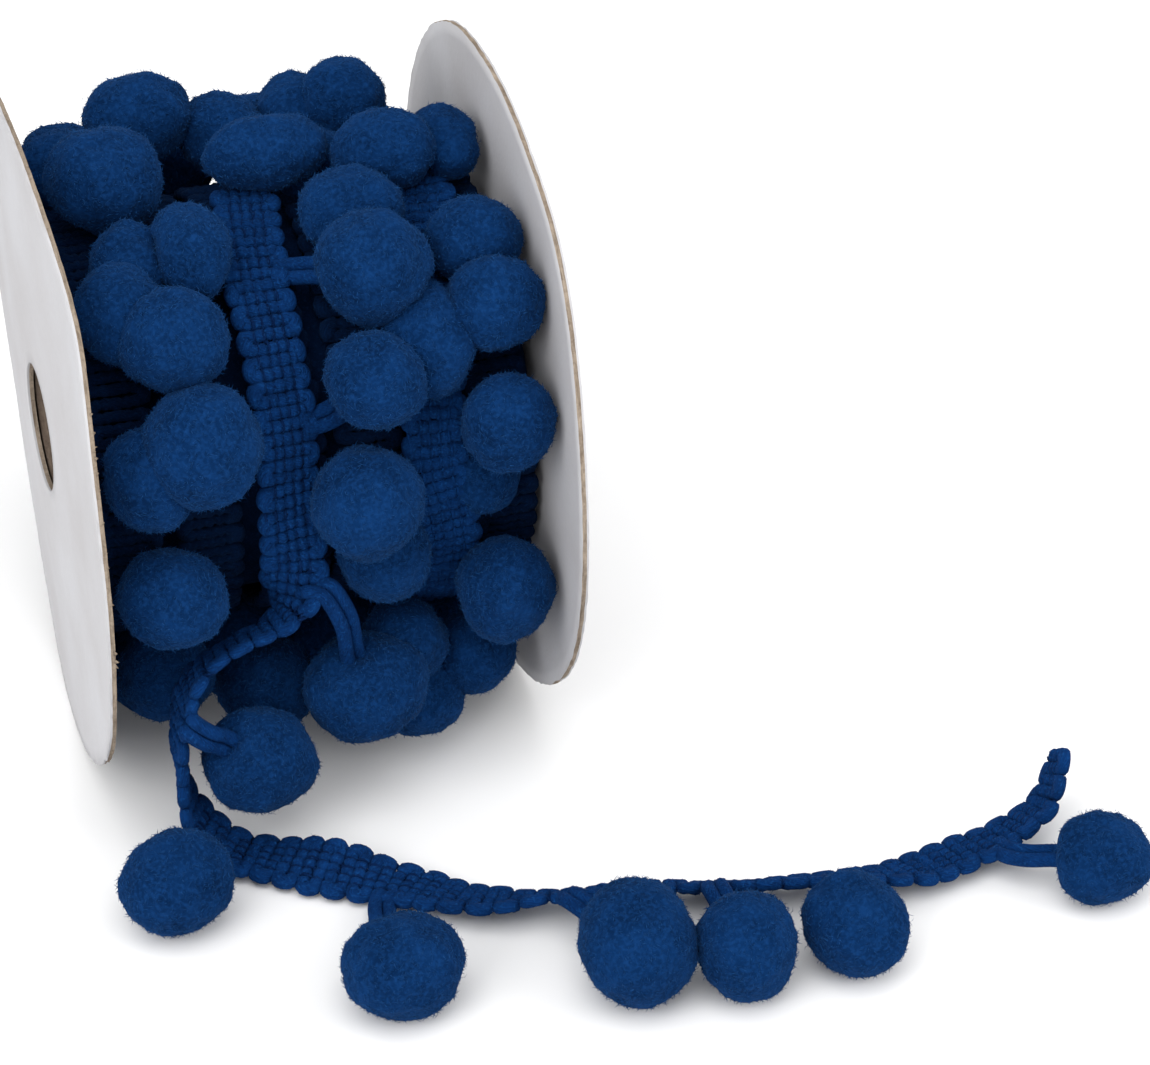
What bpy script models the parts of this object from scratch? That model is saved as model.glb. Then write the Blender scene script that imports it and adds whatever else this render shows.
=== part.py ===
"""Pompom fringe trim wound on a card reel, with its loose end lying in front.

Sizes in the tables are millimetres, in the reel's own frame: X runs along the reel from
the outer face of the left card, the reel's axis is at y = 0, and the floor is z = 0.
Angles round the reel are degrees from the front (-Y), rising towards the top.
"""

import math
import random
from collections import namedtuple

import bmesh
import bpy
from mathutils import Matrix, Vector

MM = 0.001
GAP = 0.3

# Reel: two card discs on a card tube
DISC_RADIUS = 43.5
DISC_THICKNESS = 0.8
REEL_WIDTH = 59.6
HUB_HOLE_RADIUS = 8.25
HUB_FLAT_RADIUS = 15.0
FLAT_SPOT_SAG = 0.12
AXIS_HEIGHT = DISC_RADIUS - FLAT_SPOT_SAG
TUBE_INNER_RADIUS = 8.6
TUBE_OUTER_RADIUS = 10.6
DISC_STEPS = 72
TUBE_STEPS = 40

# Heading tape: a thick woven tape with scalloped edges
TAPE_WIDTH = 8.5
TAPE_THICKNESS = 1.7
TAPE_RADIUS = 29.6
STATION_PITCH = 0.8
CURVE_STEPS = 24
SCALLOP_WIDTHS = (0.86, 0.96, 1.0, 0.96)
RIB_HEIGHTS = (0.78, 1.0)
TAPE_CORNER = 0.78

# Loop that carries each pompom: two thick threads side by side
LOOP_WIDTH = 3.0
LOOP_THICKNESS = 1.7
LOOP_BOW = 0.9
LOOP_ROOT_DEPTH = 0.9
LOOP_STEPS = 4

# Pompoms
LUMP_HEIGHT = 0.22
LUMP_WAVES = 3
LUMP_FREQUENCY = 3.7
POMPOM_SEED = 41
BALL_DIVISIONS = 3

# Wound body
BODY_RADIUS = 26.6
TURN_RADIUS = TAPE_RADIUS - TAPE_THICKNESS / 2.0 - GAP
TURN_CENTRES = (6.2, 16.6, 26.6, 36.4, 45.8, 53.4)
TURN_HALF_WIDTH = TAPE_WIDTH / 2.0
BODY_STEPS = 64
VOXEL = 1.15
BODY_TRIANGLES = 5300
BODY_SINK = 1.0
RIDGE_SLOPE = 0.6
CUT_MARGIN = 0.4
CUTTER_REACH = 20.0

CardWarp = namedtuple("CardWarp", "angle left right")
TapeOnReel = namedtuple("TapeOnReel", "x angle radius")
TapeLoose = namedtuple("TapeLoose", "x y z azimuth lean")
WoundPompom = namedtuple("WoundPompom", "x angle radius across along")
Pompom = namedtuple("Pompom", "x y z half_x half_y half_z tape_x tape_y tape_z")

# How far the rims of the two cards have warped along X, by the angle round the reel
CARD_WARP = (
    CardWarp(-170.0, 2.4, 0.2),
    CardWarp(-153.0, 2.7, 0.2),
    CardWarp(-131.0, 2.35, 0.2),
    CardWarp(-113.0, 1.75, 0.2),
    CardWarp(-92.0, 0.75, 0.25),
    CardWarp(-70.0, 0.2, 0.3),
    CardWarp(-31.0, 0.0, 0.4),
    CardWarp(-18.0, -0.25, 0.2),
    CardWarp(0.0, -0.25, 0.0),
    CardWarp(15.0, -0.25, 0.1),
    CardWarp(28.0, -0.1, 0.45),
    CardWarp(38.0, 0.35, 0.85),
    CardWarp(48.0, 0.8, 1.05),
    CardWarp(57.0, 0.45, 1.0),
    CardWarp(65.0, 0.0, 0.6),
    CardWarp(75.0, -0.5, 0.45),
    CardWarp(85.0, -0.75, 0.25),
    CardWarp(95.0, -0.9, 0.0),
    CardWarp(120.0, -0.4, 0.0),
    CardWarp(150.0, 1.0, 0.1),
)

# The last turn of the tape, from where it comes out between the pompoms at the top
LAST_TURN = (
    TapeOnReel(28.0, 93.0, TAPE_RADIUS),
    TapeOnReel(26.5, 75.0, TAPE_RADIUS),
    TapeOnReel(25.8, 60.0, TAPE_RADIUS),
)

# The rest of the tape: down the front of the reel, twisted once, hanging, and along the
# floor. Azimuth and lean give the direction across it, from its pompom edge to its free edge.
LOOSE_END = (
    TapeLoose(25.9, -21.3, 63.9, 185.8, 5.5),
    TapeLoose(26.0, -26.8, 55.9, 193.7, 6.3),
    TapeLoose(25.4, -29.4, 47.0, 194.0, 1.8),
    TapeLoose(25.6, -29.9, 39.4, 178.0, 0.0),
    TapeLoose(25.3, -30.5, 35.4, 150.0, -6.0),
    TapeLoose(24.3, -31.2, 32.0, 112.0, -18.0),
    TapeLoose(21.6, -31.8, 29.8, 95.0, -26.0),
    TapeLoose(17.3, -32.2, 28.5, 92.0, -28.0),
    TapeLoose(13.0, -32.8, 26.3, 92.0, -26.0),
    TapeLoose(10.2, -33.3, 21.8, 90.0, -14.0),
    TapeLoose(9.1, -34.3, 13.6, 85.0, 0.0),
    TapeLoose(10.2, -36.4, 6.2, 70.0, 2.0),
    TapeLoose(14.1, -39.0, 2.0, 58.4, -6.0),
    TapeLoose(18.3, -41.6, 1.4, 56.0, 0.4),
    TapeLoose(24.8, -46.3, 2.3, 58.0, 18.0),
    TapeLoose(32.5, -50.8, 1.4, 54.5, -2.5),
    TapeLoose(39.1, -56.2, 2.1, 55.0, -17.6),
    TapeLoose(43.7, -58.7, 2.5, 62.3, -21.7),
    TapeLoose(50.4, -60.8, 3.4, 76.8, -38.0),
    TapeLoose(61.8, -62.4, 3.3, 78.0, -34.9),
    TapeLoose(73.6, -65.4, 3.4, 79.3, -40.7),
    TapeLoose(86.0, -67.1, 3.1, 87.7, -32.4),
    TapeLoose(92.3, -67.6, 2.5, 96.3, -24.6),
    TapeLoose(97.6, -66.5, 1.8, 102.3, -13.4),
    TapeLoose(106.7, -64.4, 2.2, 99.2, -19.3),
    TapeLoose(111.0, -63.2, 3.5, 95.6, -26.7),
    TapeLoose(114.3, -62.1, 5.3, 91.9, -31.2),
    TapeLoose(116.9, -59.1, 9.4, 84.8, -41.1),
    TapeLoose(117.0, -57.2, 11.4, 84.7, -44.3),
)

# Pompoms of the last turn and of the loose end, with the place on the tape of each loop
LOOSE_POMPOMS = (
    Pompom(39.0, -20.4, 72.9, 7.0, 7.0, 7.3, 30.8, -13.6, 69.6),
    Pompom(36.8, -29.9, 63.0, 6.1, 6.1, 6.1, 30.6, -26.4, 56.2),
    Pompom(33.9, -31.6, 17.9, 7.9, 6.8, 6.9, 27.2, -29.8, 33.4),
    Pompom(18.9, -36.6, 13.3, 7.1, 6.4, 6.4, 10.2, -37.4, 21.8),
    Pompom(5.1, -48.8, 6.4, 7.3, 6.8, 6.4, 11.6, -42.2, 3.4),
    Pompom(28.1, -71.4, 6.5, 7.5, 6.9, 6.5, 28.6, -56.0, 2.0),
    Pompom(56.1, -76.6, 7.4, 7.0, 8.3, 7.4, 50.6, -66.2, 4.0),
    Pompom(69.0, -79.8, 6.8, 6.2, 6.9, 6.8, 68.4, -69.6, 6.0),
    Pompom(83.0, -79.2, 6.4, 6.6, 6.6, 6.4, 83.0, -71.6, 5.0),
    Pompom(116.8, -75.4, 5.6, 6.3, 6.0, 5.6, 107.0, -68.2, 2.0),
)

# Pompoms of the wound turns that lie on the front, top and underside
FRONT_POMPOMS = (
    WoundPompom(7.6, 121.0, 31.6, 5.3, 5.9),
    WoundPompom(10.4, 92.0, 34.1, 7.3, 6.7),
    WoundPompom(17.9, 120.0, 36.6, 6.7, 6.0),
    WoundPompom(28.8, 121.0, 33.2, 5.4, 5.6),
    WoundPompom(30.9, 93.0, 34.2, 8.0, 4.7),
    WoundPompom(38.6, 124.0, 34.4, 5.4, 5.6),
    WoundPompom(44.2, 119.0, 35.2, 5.7, 5.9),
    WoundPompom(45.4, 87.0, 34.1, 6.8, 5.4),
    WoundPompom(53.8, 93.0, 32.0, 4.2, 6.4),
    WoundPompom(39.2, 74.0, 32.2, 6.8, 5.4),
    WoundPompom(52.8, 60.0, 33.0, 5.9, 5.7),
    WoundPompom(53.1, 45.0, 34.2, 6.0, 6.0),
    WoundPompom(44.4, 39.8, 32.4, 5.9, 7.3),
    WoundPompom(52.6, 20.3, 33.8, 5.6, 6.2),
    WoundPompom(34.2, 8.4, 35.0, 7.0, 7.0),
    WoundPompom(50.5, 2.0, 26.5, 5.0, 5.4),
    WoundPompom(52.2, -23.2, 34.6, 6.2, 7.0),
    WoundPompom(37.0, -13.0, 30.6, 5.8, 6.4),
    WoundPompom(40.2, -43.6, 34.8, 5.5, 6.2),
    WoundPompom(42.3, -55.0, 41.0, 6.0, 6.2),
    WoundPompom(49.9, -52.0, 37.2, 5.8, 5.4),
    WoundPompom(38.0, 102.0, 29.0, 5.2, 5.2),
    WoundPompom(22.8, -51.0, 36.8, 6.2, 6.0),
    WoundPompom(13.4, 47.3, 34.6, 6.9, 6.4),
    WoundPompom(18.1, 68.3, 33.0, 4.8, 6.9),
    WoundPompom(10.9, 69.6, 30.6, 5.0, 6.0),
    WoundPompom(8.4, 56.6, 32.2, 5.4, 6.6),
    WoundPompom(14.7, 25.7, 34.8, 7.4, 7.8),
    WoundPompom(8.4, 19.6, 32.4, 5.9, 6.4),
    WoundPompom(9.6, -8.0, 34.2, 6.9, 6.2),
    WoundPompom(9.9, -46.0, 33.6, 6.2, 6.2),
)

# Pompoms of the hidden back: rows round the reel, each shifted half a step
BACK_ROWS = (146.0, 170.0, 193.0, 216.0, 239.0, 262.0, 285.0)
BACK_COLUMNS = (11.2, 23.6, 36.2, 48.8)
BACK_RADIUS = 34.2
BACK_HALF_SIZE = 6.5
BACK_SHIFT = 1.4
BACK_JITTER = 0.9
BACK_ANGLE_JITTER = 3.5

BLUE = (0.010, 0.050, 0.235, 1.0)
CARD = (0.66, 0.66, 0.68, 1.0)
KRAFT = (0.42, 0.28, 0.18, 1.0)


def clear_scene():
    """Remove every object of the open file."""
    for obj in list(bpy.data.objects):
        bpy.data.objects.remove(obj, do_unlink=True)


def new_collection(name):
    """Add a collection to the scene."""
    collection = bpy.data.collections.new(name)
    bpy.context.scene.collection.children.link(collection)
    return collection


def new_material(name, colour, roughness):
    """Make a Principled material of one colour."""
    material = bpy.data.materials.new(name)
    material.use_nodes = True
    shader = material.node_tree.nodes["Principled BSDF"]
    shader.inputs["Base Color"].default_value = colour
    shader.inputs["Roughness"].default_value = roughness
    shader.inputs["Metallic"].default_value = 0.0
    material.diffuse_color = colour
    return material


def add_object(name, mesh, collection, material=None):
    """Put a mesh in a collection as a named object."""
    obj = bpy.data.objects.new(name, mesh)
    collection.objects.link(obj)
    if material is not None:
        mesh.materials.append(material)
    return obj


def mark_as_cutter(obj):
    """Keep a cutter out of the model."""
    obj.hide_render = True
    obj.display_type = "WIRE"


def mesh_from(bm, name):
    """Turn a bmesh into a mesh and free it."""
    bmesh.ops.recalc_face_normals(bm, faces=bm.faces)
    mesh = bpy.data.meshes.new(name)
    bm.to_mesh(mesh)
    bm.free()
    return mesh


def evaluated_copy(obj, name):
    """Return the mesh of an object with its modifiers applied."""
    bpy.context.view_layer.update()
    graph = bpy.context.evaluated_depsgraph_get()
    mesh = bpy.data.meshes.new_from_object(obj.evaluated_get(graph))
    mesh.name = name
    return mesh


def around_reel(x, angle, radius):
    """Return the point at an angle and a radius round the reel's axis."""
    turn = math.radians(angle)
    return Vector((x, -radius * math.cos(turn), AXIS_HEIGHT + radius * math.sin(turn)))


def turned(name, profile, steps, collection, material=None, height=AXIS_HEIGHT):
    """Turn a closed profile of (x, radius) points, clockwise, round the reel's axis."""
    bm = bmesh.new()
    verts = [bm.verts.new((x * MM, 0.0, radius * MM)) for x, radius in reversed(profile)]
    for first, second in zip(verts, verts[1:] + verts[:1]):
        bm.edges.new((first, second))
    mesh = bpy.data.meshes.new(name)
    bm.to_mesh(mesh)
    bm.free()
    obj = add_object(name, mesh, collection, material)
    screw = obj.modifiers.new("turn", "SCREW")
    screw.axis = "X"
    screw.steps = steps
    screw.render_steps = steps
    screw.use_merge_vertices = True
    screw.merge_threshold = 0.0001
    obj.location.z = height * MM
    return obj


def subtract(obj, cutter, name):
    """Cut one mesh out of another with a Boolean modifier."""
    cut = obj.modifiers.new(name, "BOOLEAN")
    cut.operation = "DIFFERENCE"
    cut.solver = "EXACT"
    cut.object = cutter


def warp_at(angle, left):
    """Return how far a card's rim has warped along X at an angle round the reel."""
    rows = [(row.angle, row.left if left else row.right) for row in CARD_WARP]
    rows.append((rows[0][0] + 360.0, rows[0][1]))
    turn = rows[0][0] + (angle - rows[0][0]) % 360.0
    for (start, low), (end, high) in zip(rows, rows[1:]):
        if turn <= end:
            share = (turn - start) / (end - start)
            return low + (high - low) * share * share * (3.0 - 2.0 * share)
    return rows[-1][1]


def lean_at(angle, radius, left):
    """Return how far a card has warped along X; round its hub it is flat."""
    share = (radius - HUB_FLAT_RADIUS) / (DISC_RADIUS - HUB_FLAT_RADIUS)
    return max(0.0, share) * warp_at(angle, left)


def card_ring(bm, x, radius, left):
    """Add the points of a card at one radius, all round the reel."""
    angles = [360.0 * step / DISC_STEPS for step in range(DISC_STEPS)]
    points = [around_reel(x + lean_at(angle, radius, left), angle, radius) for angle in angles]
    return [bm.verts.new(point * MM) for point in points]


def build_disc(name, outer_x, inner_x, left, collection, card):
    """Build one warped card disc with its hub hole."""
    bm = bmesh.new()
    radii = (HUB_HOLE_RADIUS, HUB_FLAT_RADIUS, DISC_RADIUS)
    rings = [card_ring(bm, outer_x, radius, left) for radius in radii]
    rings += [card_ring(bm, inner_x, radius, left) for radius in reversed(radii)]
    for ring, after in zip(rings, rings[1:] + rings[:1]):
        for step in range(DISC_STEPS):
            following = (step + 1) % DISC_STEPS
            bm.faces.new((ring[step], after[step], after[following], ring[following]))
    bmesh.ops.triangulate(bm, faces=bm.faces)
    return add_object(name, mesh_from(bm, name), collection, card)


def build_reel(collection, cutters, card, kraft):
    """Build both card discs, each with a small flat spot, and the tube between them."""
    side = 4.0 * DISC_RADIUS * MM
    bpy.ops.mesh.primitive_cube_add(size=side, location=(0.0, 0.0, -side / 2.0))
    floor = bpy.context.object
    floor.name = "floor_cutter"
    for owner in list(floor.users_collection):
        owner.objects.unlink(floor)
    cutters.objects.link(floor)
    mark_as_cutter(floor)

    right_inner = REEL_WIDTH - DISC_THICKNESS
    left = build_disc("flange_left", 0.0, DISC_THICKNESS, True, collection, card)
    right = build_disc("flange_right", REEL_WIDTH, right_inner, False, collection, card)
    for disc in (left, right):
        subtract(disc, floor, "flat_spot")

    start = DISC_THICKNESS + GAP
    end = right_inner - GAP
    tube_profile = [(start, TUBE_OUTER_RADIUS), (end, TUBE_OUTER_RADIUS),
                    (end, TUBE_INNER_RADIUS), (start, TUBE_INNER_RADIUS)]
    tube = turned("core_tube", tube_profile, TUBE_STEPS, collection, kraft)
    return [left, right, tube]


def add_ball(bm, centre, half_sizes, turn=None):
    """Add an oval ball to a bmesh and return its vertices."""
    shape = Matrix.Diagonal((*[size * MM for size in half_sizes], 1.0))
    place = Matrix.Translation(centre * MM) @ (turn or Matrix.Identity(4)) @ shape
    made = bmesh.ops.create_icosphere(bm, subdivisions=BALL_DIVISIONS, radius=1.0, matrix=place)
    return made["verts"]


def roughen(verts, centre, draw):
    """Give a ball soft lumps from crossed waves."""
    middle = centre * MM
    waves = []
    for _ in range(LUMP_WAVES):
        axis = Vector((draw.uniform(-1, 1), draw.uniform(-1, 1), draw.uniform(-1, 1)))
        waves.append((axis.normalized() * LUMP_FREQUENCY, draw.uniform(0.0, math.tau)))
    for vert in verts:
        outward = (vert.co - middle).normalized()
        lump = sum(math.sin(axis.dot(outward) + phase) for axis, phase in waves)
        vert.co += outward * (lump / LUMP_WAVES) * LUMP_HEIGHT * MM


def level_on_floor(verts):
    """Lift or lower a ball so that its lowest point is on the floor."""
    lowest = min(vert.co.z for vert in verts)
    for vert in verts:
        vert.co.z -= lowest


def pompom_mesh(pompom, name, draw, margin=0.0):
    """Return the mesh of one loose pompom, swollen by a margin for cutting."""
    bm = bmesh.new()
    centre = Vector((pompom.x, pompom.y, pompom.z))
    halves = [size + margin for size in (pompom.half_x, pompom.half_y, pompom.half_z)]
    verts = add_ball(bm, centre, halves)
    roughen(verts, centre, draw)
    rests = abs(pompom.z - pompom.half_z) < 0.1
    if rests and margin == 0.0:
        level_on_floor(verts)
    return mesh_from(bm, name)


def wound_pompoms():
    """Return all pompoms of the wound turns, the back ones placed by rows."""
    draw = random.Random(POMPOM_SEED)
    pompoms = list(FRONT_POMPOMS)
    for row, angle in enumerate(BACK_ROWS):
        side = BACK_SHIFT if row % 2 else -BACK_SHIFT
        for x in BACK_COLUMNS:
            place = x + side + draw.uniform(-BACK_JITTER, BACK_JITTER)
            around = angle + draw.uniform(-BACK_ANGLE_JITTER, BACK_ANGLE_JITTER)
            size = BACK_HALF_SIZE + draw.uniform(-0.4, 0.4)
            pompoms.append(WoundPompom(place, around, BACK_RADIUS, size, size))
    return pompoms


def body_profile():
    """Return the profile of the wound tape: a ridge for each stack of turns."""
    start = DISC_THICKNESS + GAP
    end = REEL_WIDTH - DISC_THICKNESS - GAP
    outer = [(start, BODY_RADIUS)]
    for centre in TURN_CENTRES:
        low = max(centre - TURN_HALF_WIDTH, outer[-1][0] + CUT_MARGIN)
        high = min(centre + TURN_HALF_WIDTH, end - CUT_MARGIN)
        outer += [(low, BODY_RADIUS), (low + RIDGE_SLOPE, TURN_RADIUS),
                  (high - RIDGE_SLOPE, TURN_RADIUS), (high, BODY_RADIUS)]
    outer.append((end, BODY_RADIUS))
    inner = TUBE_OUTER_RADIUS - BODY_SINK
    return outer + [(end, inner), (start, inner)]


def build_wound_body(collection, cutters, blue, trim_cutters):
    """Build the wound trim: turns of tape and their pompoms as one closed solid."""
    body = turned("wound_draft", body_profile(), BODY_STEPS, cutters)
    draft = evaluated_copy(body, "wound_draft")
    bm = bmesh.new()
    bm.from_mesh(draft)
    bmesh.ops.translate(bm, verts=bm.verts, vec=(0.0, 0.0, AXIS_HEIGHT * MM))
    for pompom in wound_pompoms():
        centre = around_reel(pompom.x, pompom.angle, pompom.radius)
        turn = Matrix.Rotation(math.radians(-pompom.angle), 4, "X")
        depth = min(pompom.across, pompom.along)
        add_ball(bm, centre, (pompom.across, depth, pompom.along), turn)
    bpy.data.objects.remove(body, do_unlink=True)

    lumps = add_object("wound_lumps", mesh_from(bm, "wound_lumps"), cutters)
    mark_as_cutter(lumps)
    melt = lumps.modifiers.new("melt_together", "REMESH")
    melt.mode = "VOXEL"
    melt.voxel_size = VOXEL * MM
    melted = evaluated_copy(lumps, "wound_trim")
    faces = 2 * len(melted.polygons)
    wound = add_object("wound_trim", melted, collection, blue)
    thin = wound.modifiers.new("fewer_faces", "DECIMATE")
    thin.ratio = min(1.0, BODY_TRIANGLES / faces)
    thin.use_collapse_triangulate = True

    subtract(wound, build_card_cutter(cutters, True), "clear_of_left_card")
    subtract(wound, build_card_cutter(cutters, False), "clear_of_right_card")
    subtract(wound, build_tube_cutter(cutters), "clear_of_tube")
    for index, cutter in enumerate(trim_cutters):
        subtract(wound, cutter, f"clear_of_trim_{index}")
    keep_largest_body(wound)
    return wound


def build_card_cutter(cutters, left):
    """Build the space that a warped card and its clearance take."""
    wide = DISC_RADIUS + CUTTER_REACH
    if left:
        face = DISC_THICKNESS + CUT_MARGIN
        beyond = -CUTTER_REACH
    else:
        face = REEL_WIDTH - DISC_THICKNESS - CUT_MARGIN
        beyond = REEL_WIDTH + CUTTER_REACH
    profile = [(beyond, 0.0), (face, 0.0), (face, HUB_FLAT_RADIUS), (face, wide), (beyond, wide)]
    name = "left_card_space" if left else "right_card_space"
    return solid_of_turning(name, profile, cutters, left)


def build_tube_cutter(cutters):
    """Build the space that the tube and its clearance take."""
    radius = TUBE_OUTER_RADIUS + GAP
    beyond = REEL_WIDTH + CUTTER_REACH
    profile = [(-CUTTER_REACH, 0.0), (beyond, 0.0), (beyond, radius), (-CUTTER_REACH, radius)]
    return solid_of_turning("tube_space", profile, cutters)


def solid_of_turning(name, profile, cutters, left=None):
    """Turn a profile into a closed cutter, warped as a card where a side is given.

    The first two points of the profile are on the reel's axis. A cutter that isn't warped is
    turned by half a step, so that its corners miss the edges of the others.
    """
    first, second = (Vector((x * MM, 0.0, AXIS_HEIGHT * MM)) for x, _ in profile[:2])
    bm = bmesh.new()
    middles = [bm.verts.new(first), bm.verts.new(second)]
    rings = []
    shift = 0.5 if left is None else 0.0
    angles = [360.0 * (step + shift) / DISC_STEPS for step in range(DISC_STEPS)]
    for x, radius in profile[2:]:
        flat = HUB_FLAT_RADIUS if left is None else radius
        leans = [lean_at(angle, flat, bool(left)) for angle in angles]
        places = [around_reel(x + lean, angle, radius) for lean, angle in zip(leans, angles)]
        rings.append([bm.verts.new(place * MM) for place in places])
    for step in range(DISC_STEPS):
        following = (step + 1) % DISC_STEPS
        bm.faces.new((middles[1], rings[0][step], rings[0][following]))
        bm.faces.new((middles[0], rings[-1][following], rings[-1][step]))
        for ring, after in zip(rings, rings[1:]):
            bm.faces.new((ring[step], after[step], after[following], ring[following]))
    bmesh.ops.triangulate(bm, faces=bm.faces)
    obj = add_object(name, mesh_from(bm, name), cutters)
    mark_as_cutter(obj)
    return obj


def keep_largest_body(obj):
    """Apply the modifiers and drop chips that the cuts have left."""
    mesh = evaluated_copy(obj, obj.name)
    bm = bmesh.new()
    bm.from_mesh(mesh)
    bmesh.ops.triangulate(bm, faces=bm.faces)
    waiting = set(bm.verts)
    bodies = []
    while waiting:
        seed = waiting.pop()
        group = {seed}
        front = [seed]
        while front:
            vert = front.pop()
            for edge in vert.link_edges:
                other = edge.other_vert(vert)
                if other in waiting:
                    waiting.remove(other)
                    group.add(other)
                    front.append(other)
        bodies.append(group)
    largest = max(bodies, key=len)
    chips = [vert for vert in bm.verts if vert not in largest]
    bmesh.ops.delete(bm, geom=chips, context="VERTS")
    obj.modifiers.clear()
    bm.to_mesh(obj.data)
    bm.free()


def tape_rows():
    """Return the tape's path as points and directions across it."""
    rows = []
    for row in LAST_TURN:
        rows.append((around_reel(row.x, row.angle, row.radius), Vector((-1.0, 0.0, 0.0))))
    for row in LOOSE_END:
        azimuth = math.radians(row.azimuth)
        lean = math.radians(row.lean)
        across = Vector((math.cos(lean) * math.cos(azimuth),
                         math.cos(lean) * math.sin(azimuth), math.sin(lean)))
        rows.append((Vector((row.x, row.y, row.z)), across))
    return rows


def between(before, start, end, after, share):
    """Return a point on the smooth curve through four neighbours."""
    square = share * share
    cube = square * share
    return 0.5 * ((2.0 * start) + (end - before) * share
                  + (2.0 * before - 5.0 * start + 4.0 * end - after) * square
                  + (3.0 * start - before - 3.0 * end + after) * cube)


def tape_stations(pitch):
    """Return evenly spaced stations: point, direction along and direction across."""
    rows = tape_rows()
    fine = []
    for index in range(len(rows) - 1):
        near = [rows[min(max(index + shift, 0), len(rows) - 1)] for shift in (-1, 0, 1, 2)]
        for step in range(CURVE_STEPS):
            share = step / CURVE_STEPS
            point = between(*[row[0] for row in near], share)
            across = between(*[row[1] for row in near], share)
            fine.append((point, across))
    fine.append(rows[-1])

    lengths = [0.0]
    for first, second in zip(fine, fine[1:]):
        lengths.append(lengths[-1] + (second[0] - first[0]).length)
    count = int(lengths[-1] / pitch)
    stations = []
    index = 0
    for step in range(count + 1):
        target = lengths[-1] * step / count
        while index < len(fine) - 2 and lengths[index + 1] < target:
            index += 1
        share = (target - lengths[index]) / (lengths[index + 1] - lengths[index])
        point = fine[index][0].lerp(fine[index + 1][0], share)
        across = fine[index][1].lerp(fine[index + 1][1], share)
        stations.append((point, across))

    framed = []
    for step, (point, across) in enumerate(stations):
        ahead = stations[min(step + 1, count)][0]
        behind = stations[max(step - 1, 0)][0]
        along = (ahead - behind).normalized()
        square_across = (across - along * across.dot(along)).normalized()
        framed.append((point, along, square_across))
    return framed


def sweep(bm, sections):
    """Join closed sections of equal count into a capped tube."""
    rings = [[bm.verts.new(point * MM) for point in section] for section in sections]
    count = len(rings[0])
    for ring, after in zip(rings, rings[1:]):
        for side in range(count):
            other = (side + 1) % count
            bm.faces.new((ring[side], ring[other], after[other], after[side]))
    bm.faces.new(rings[0])
    bm.faces.new(list(reversed(rings[-1])))


def tape_section(point, along, across, width, thickness):
    """Return the six-sided section of the tape at a station."""
    normal = along.cross(across)
    half = across * (width / 2.0)
    high = normal * (thickness / 2.0)
    return [point + half, point + half * TAPE_CORNER + high, point - half * TAPE_CORNER + high,
            point - half, point - half * TAPE_CORNER - high, point + half * TAPE_CORNER - high]


def tape_mesh(name, margin=0.0):
    """Return the heading tape with scalloped edges and raised ribs."""
    bm = bmesh.new()
    sections = []
    for step, (point, along, across) in enumerate(tape_stations(STATION_PITCH)):
        if margin > 0.0:
            width = TAPE_WIDTH + 2.0 * margin
            thickness = TAPE_THICKNESS + 2.0 * margin
        else:
            width = TAPE_WIDTH * SCALLOP_WIDTHS[step % len(SCALLOP_WIDTHS)]
            thickness = TAPE_THICKNESS * RIB_HEIGHTS[step % len(RIB_HEIGHTS)]
        sections.append(tape_section(point, along, across, width, thickness))
    sweep(bm, sections)
    return mesh_from(bm, name)


def surface_distance(pompom, direction):
    """Return how far the oval's surface is from its centre in a direction."""
    halves = (pompom.half_x, pompom.half_y, pompom.half_z)
    return 1.0 / math.sqrt(sum((part / half) ** 2 for part, half in zip(direction, halves)))


def loop_mesh(pompom, stations, name, margin=0.0):
    """Return the loop from the tape's edge to just short of the pompom."""
    target = Vector((pompom.tape_x, pompom.tape_y, pompom.tape_z))
    half = TAPE_WIDTH / 2.0
    nearest = min(stations, key=lambda row: (row[0] - row[2] * half - target).length)
    point, along, across = nearest
    root = point - across * (half - LOOP_ROOT_DEPTH)
    centre = Vector((pompom.x, pompom.y, pompom.z))
    back = (root - centre).normalized()
    tip = centre + back * (surface_distance(pompom, back) + GAP + LUMP_HEIGHT)
    middle = (root + tip) / 2.0
    bow = -across
    bow = (bow - back * bow.dot(back)) * LOOP_BOW
    bm = bmesh.new()
    sections = []
    for step in range(LOOP_STEPS + 1):
        share = step / LOOP_STEPS
        first = root.lerp(middle + bow, share)
        second = (middle + bow).lerp(tip, share)
        place = first.lerp(second, share)
        side = (along - back * along.dot(back)).normalized() * (LOOP_WIDTH / 2.0 + margin)
        rise = back.cross(side).normalized() * (LOOP_THICKNESS / 2.0 + margin)
        sections.append([place + side, place + rise, place - side, place - rise])
    sweep(bm, sections)
    return mesh_from(bm, name)


def build_tape(collection, cutters, blue):
    """Build the heading tape with the roots of its loops fused in."""
    tape = add_object("heading_tape", tape_mesh("heading_tape"), collection, blue)
    stations = tape_stations(STATION_PITCH)
    for index, pompom in enumerate(LOOSE_POMPOMS, start=1):
        name = f"loop_{index:02d}"
        loop = add_object(name, loop_mesh(pompom, stations, name), cutters)
        mark_as_cutter(loop)
        join = tape.modifiers.new(name, "BOOLEAN")
        join.operation = "UNION"
        join.solver = "EXACT"
        join.object = loop
    return tape


def build_pompoms(collection, blue):
    """Build the pompoms of the last turn and of the loose end."""
    draw = random.Random(POMPOM_SEED)
    pompoms = []
    for index, row in enumerate(LOOSE_POMPOMS, start=1):
        name = f"pompom_{index:02d}"
        pompoms.append(add_object(name, pompom_mesh(row, name, draw), collection, blue))
    return pompoms


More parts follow.
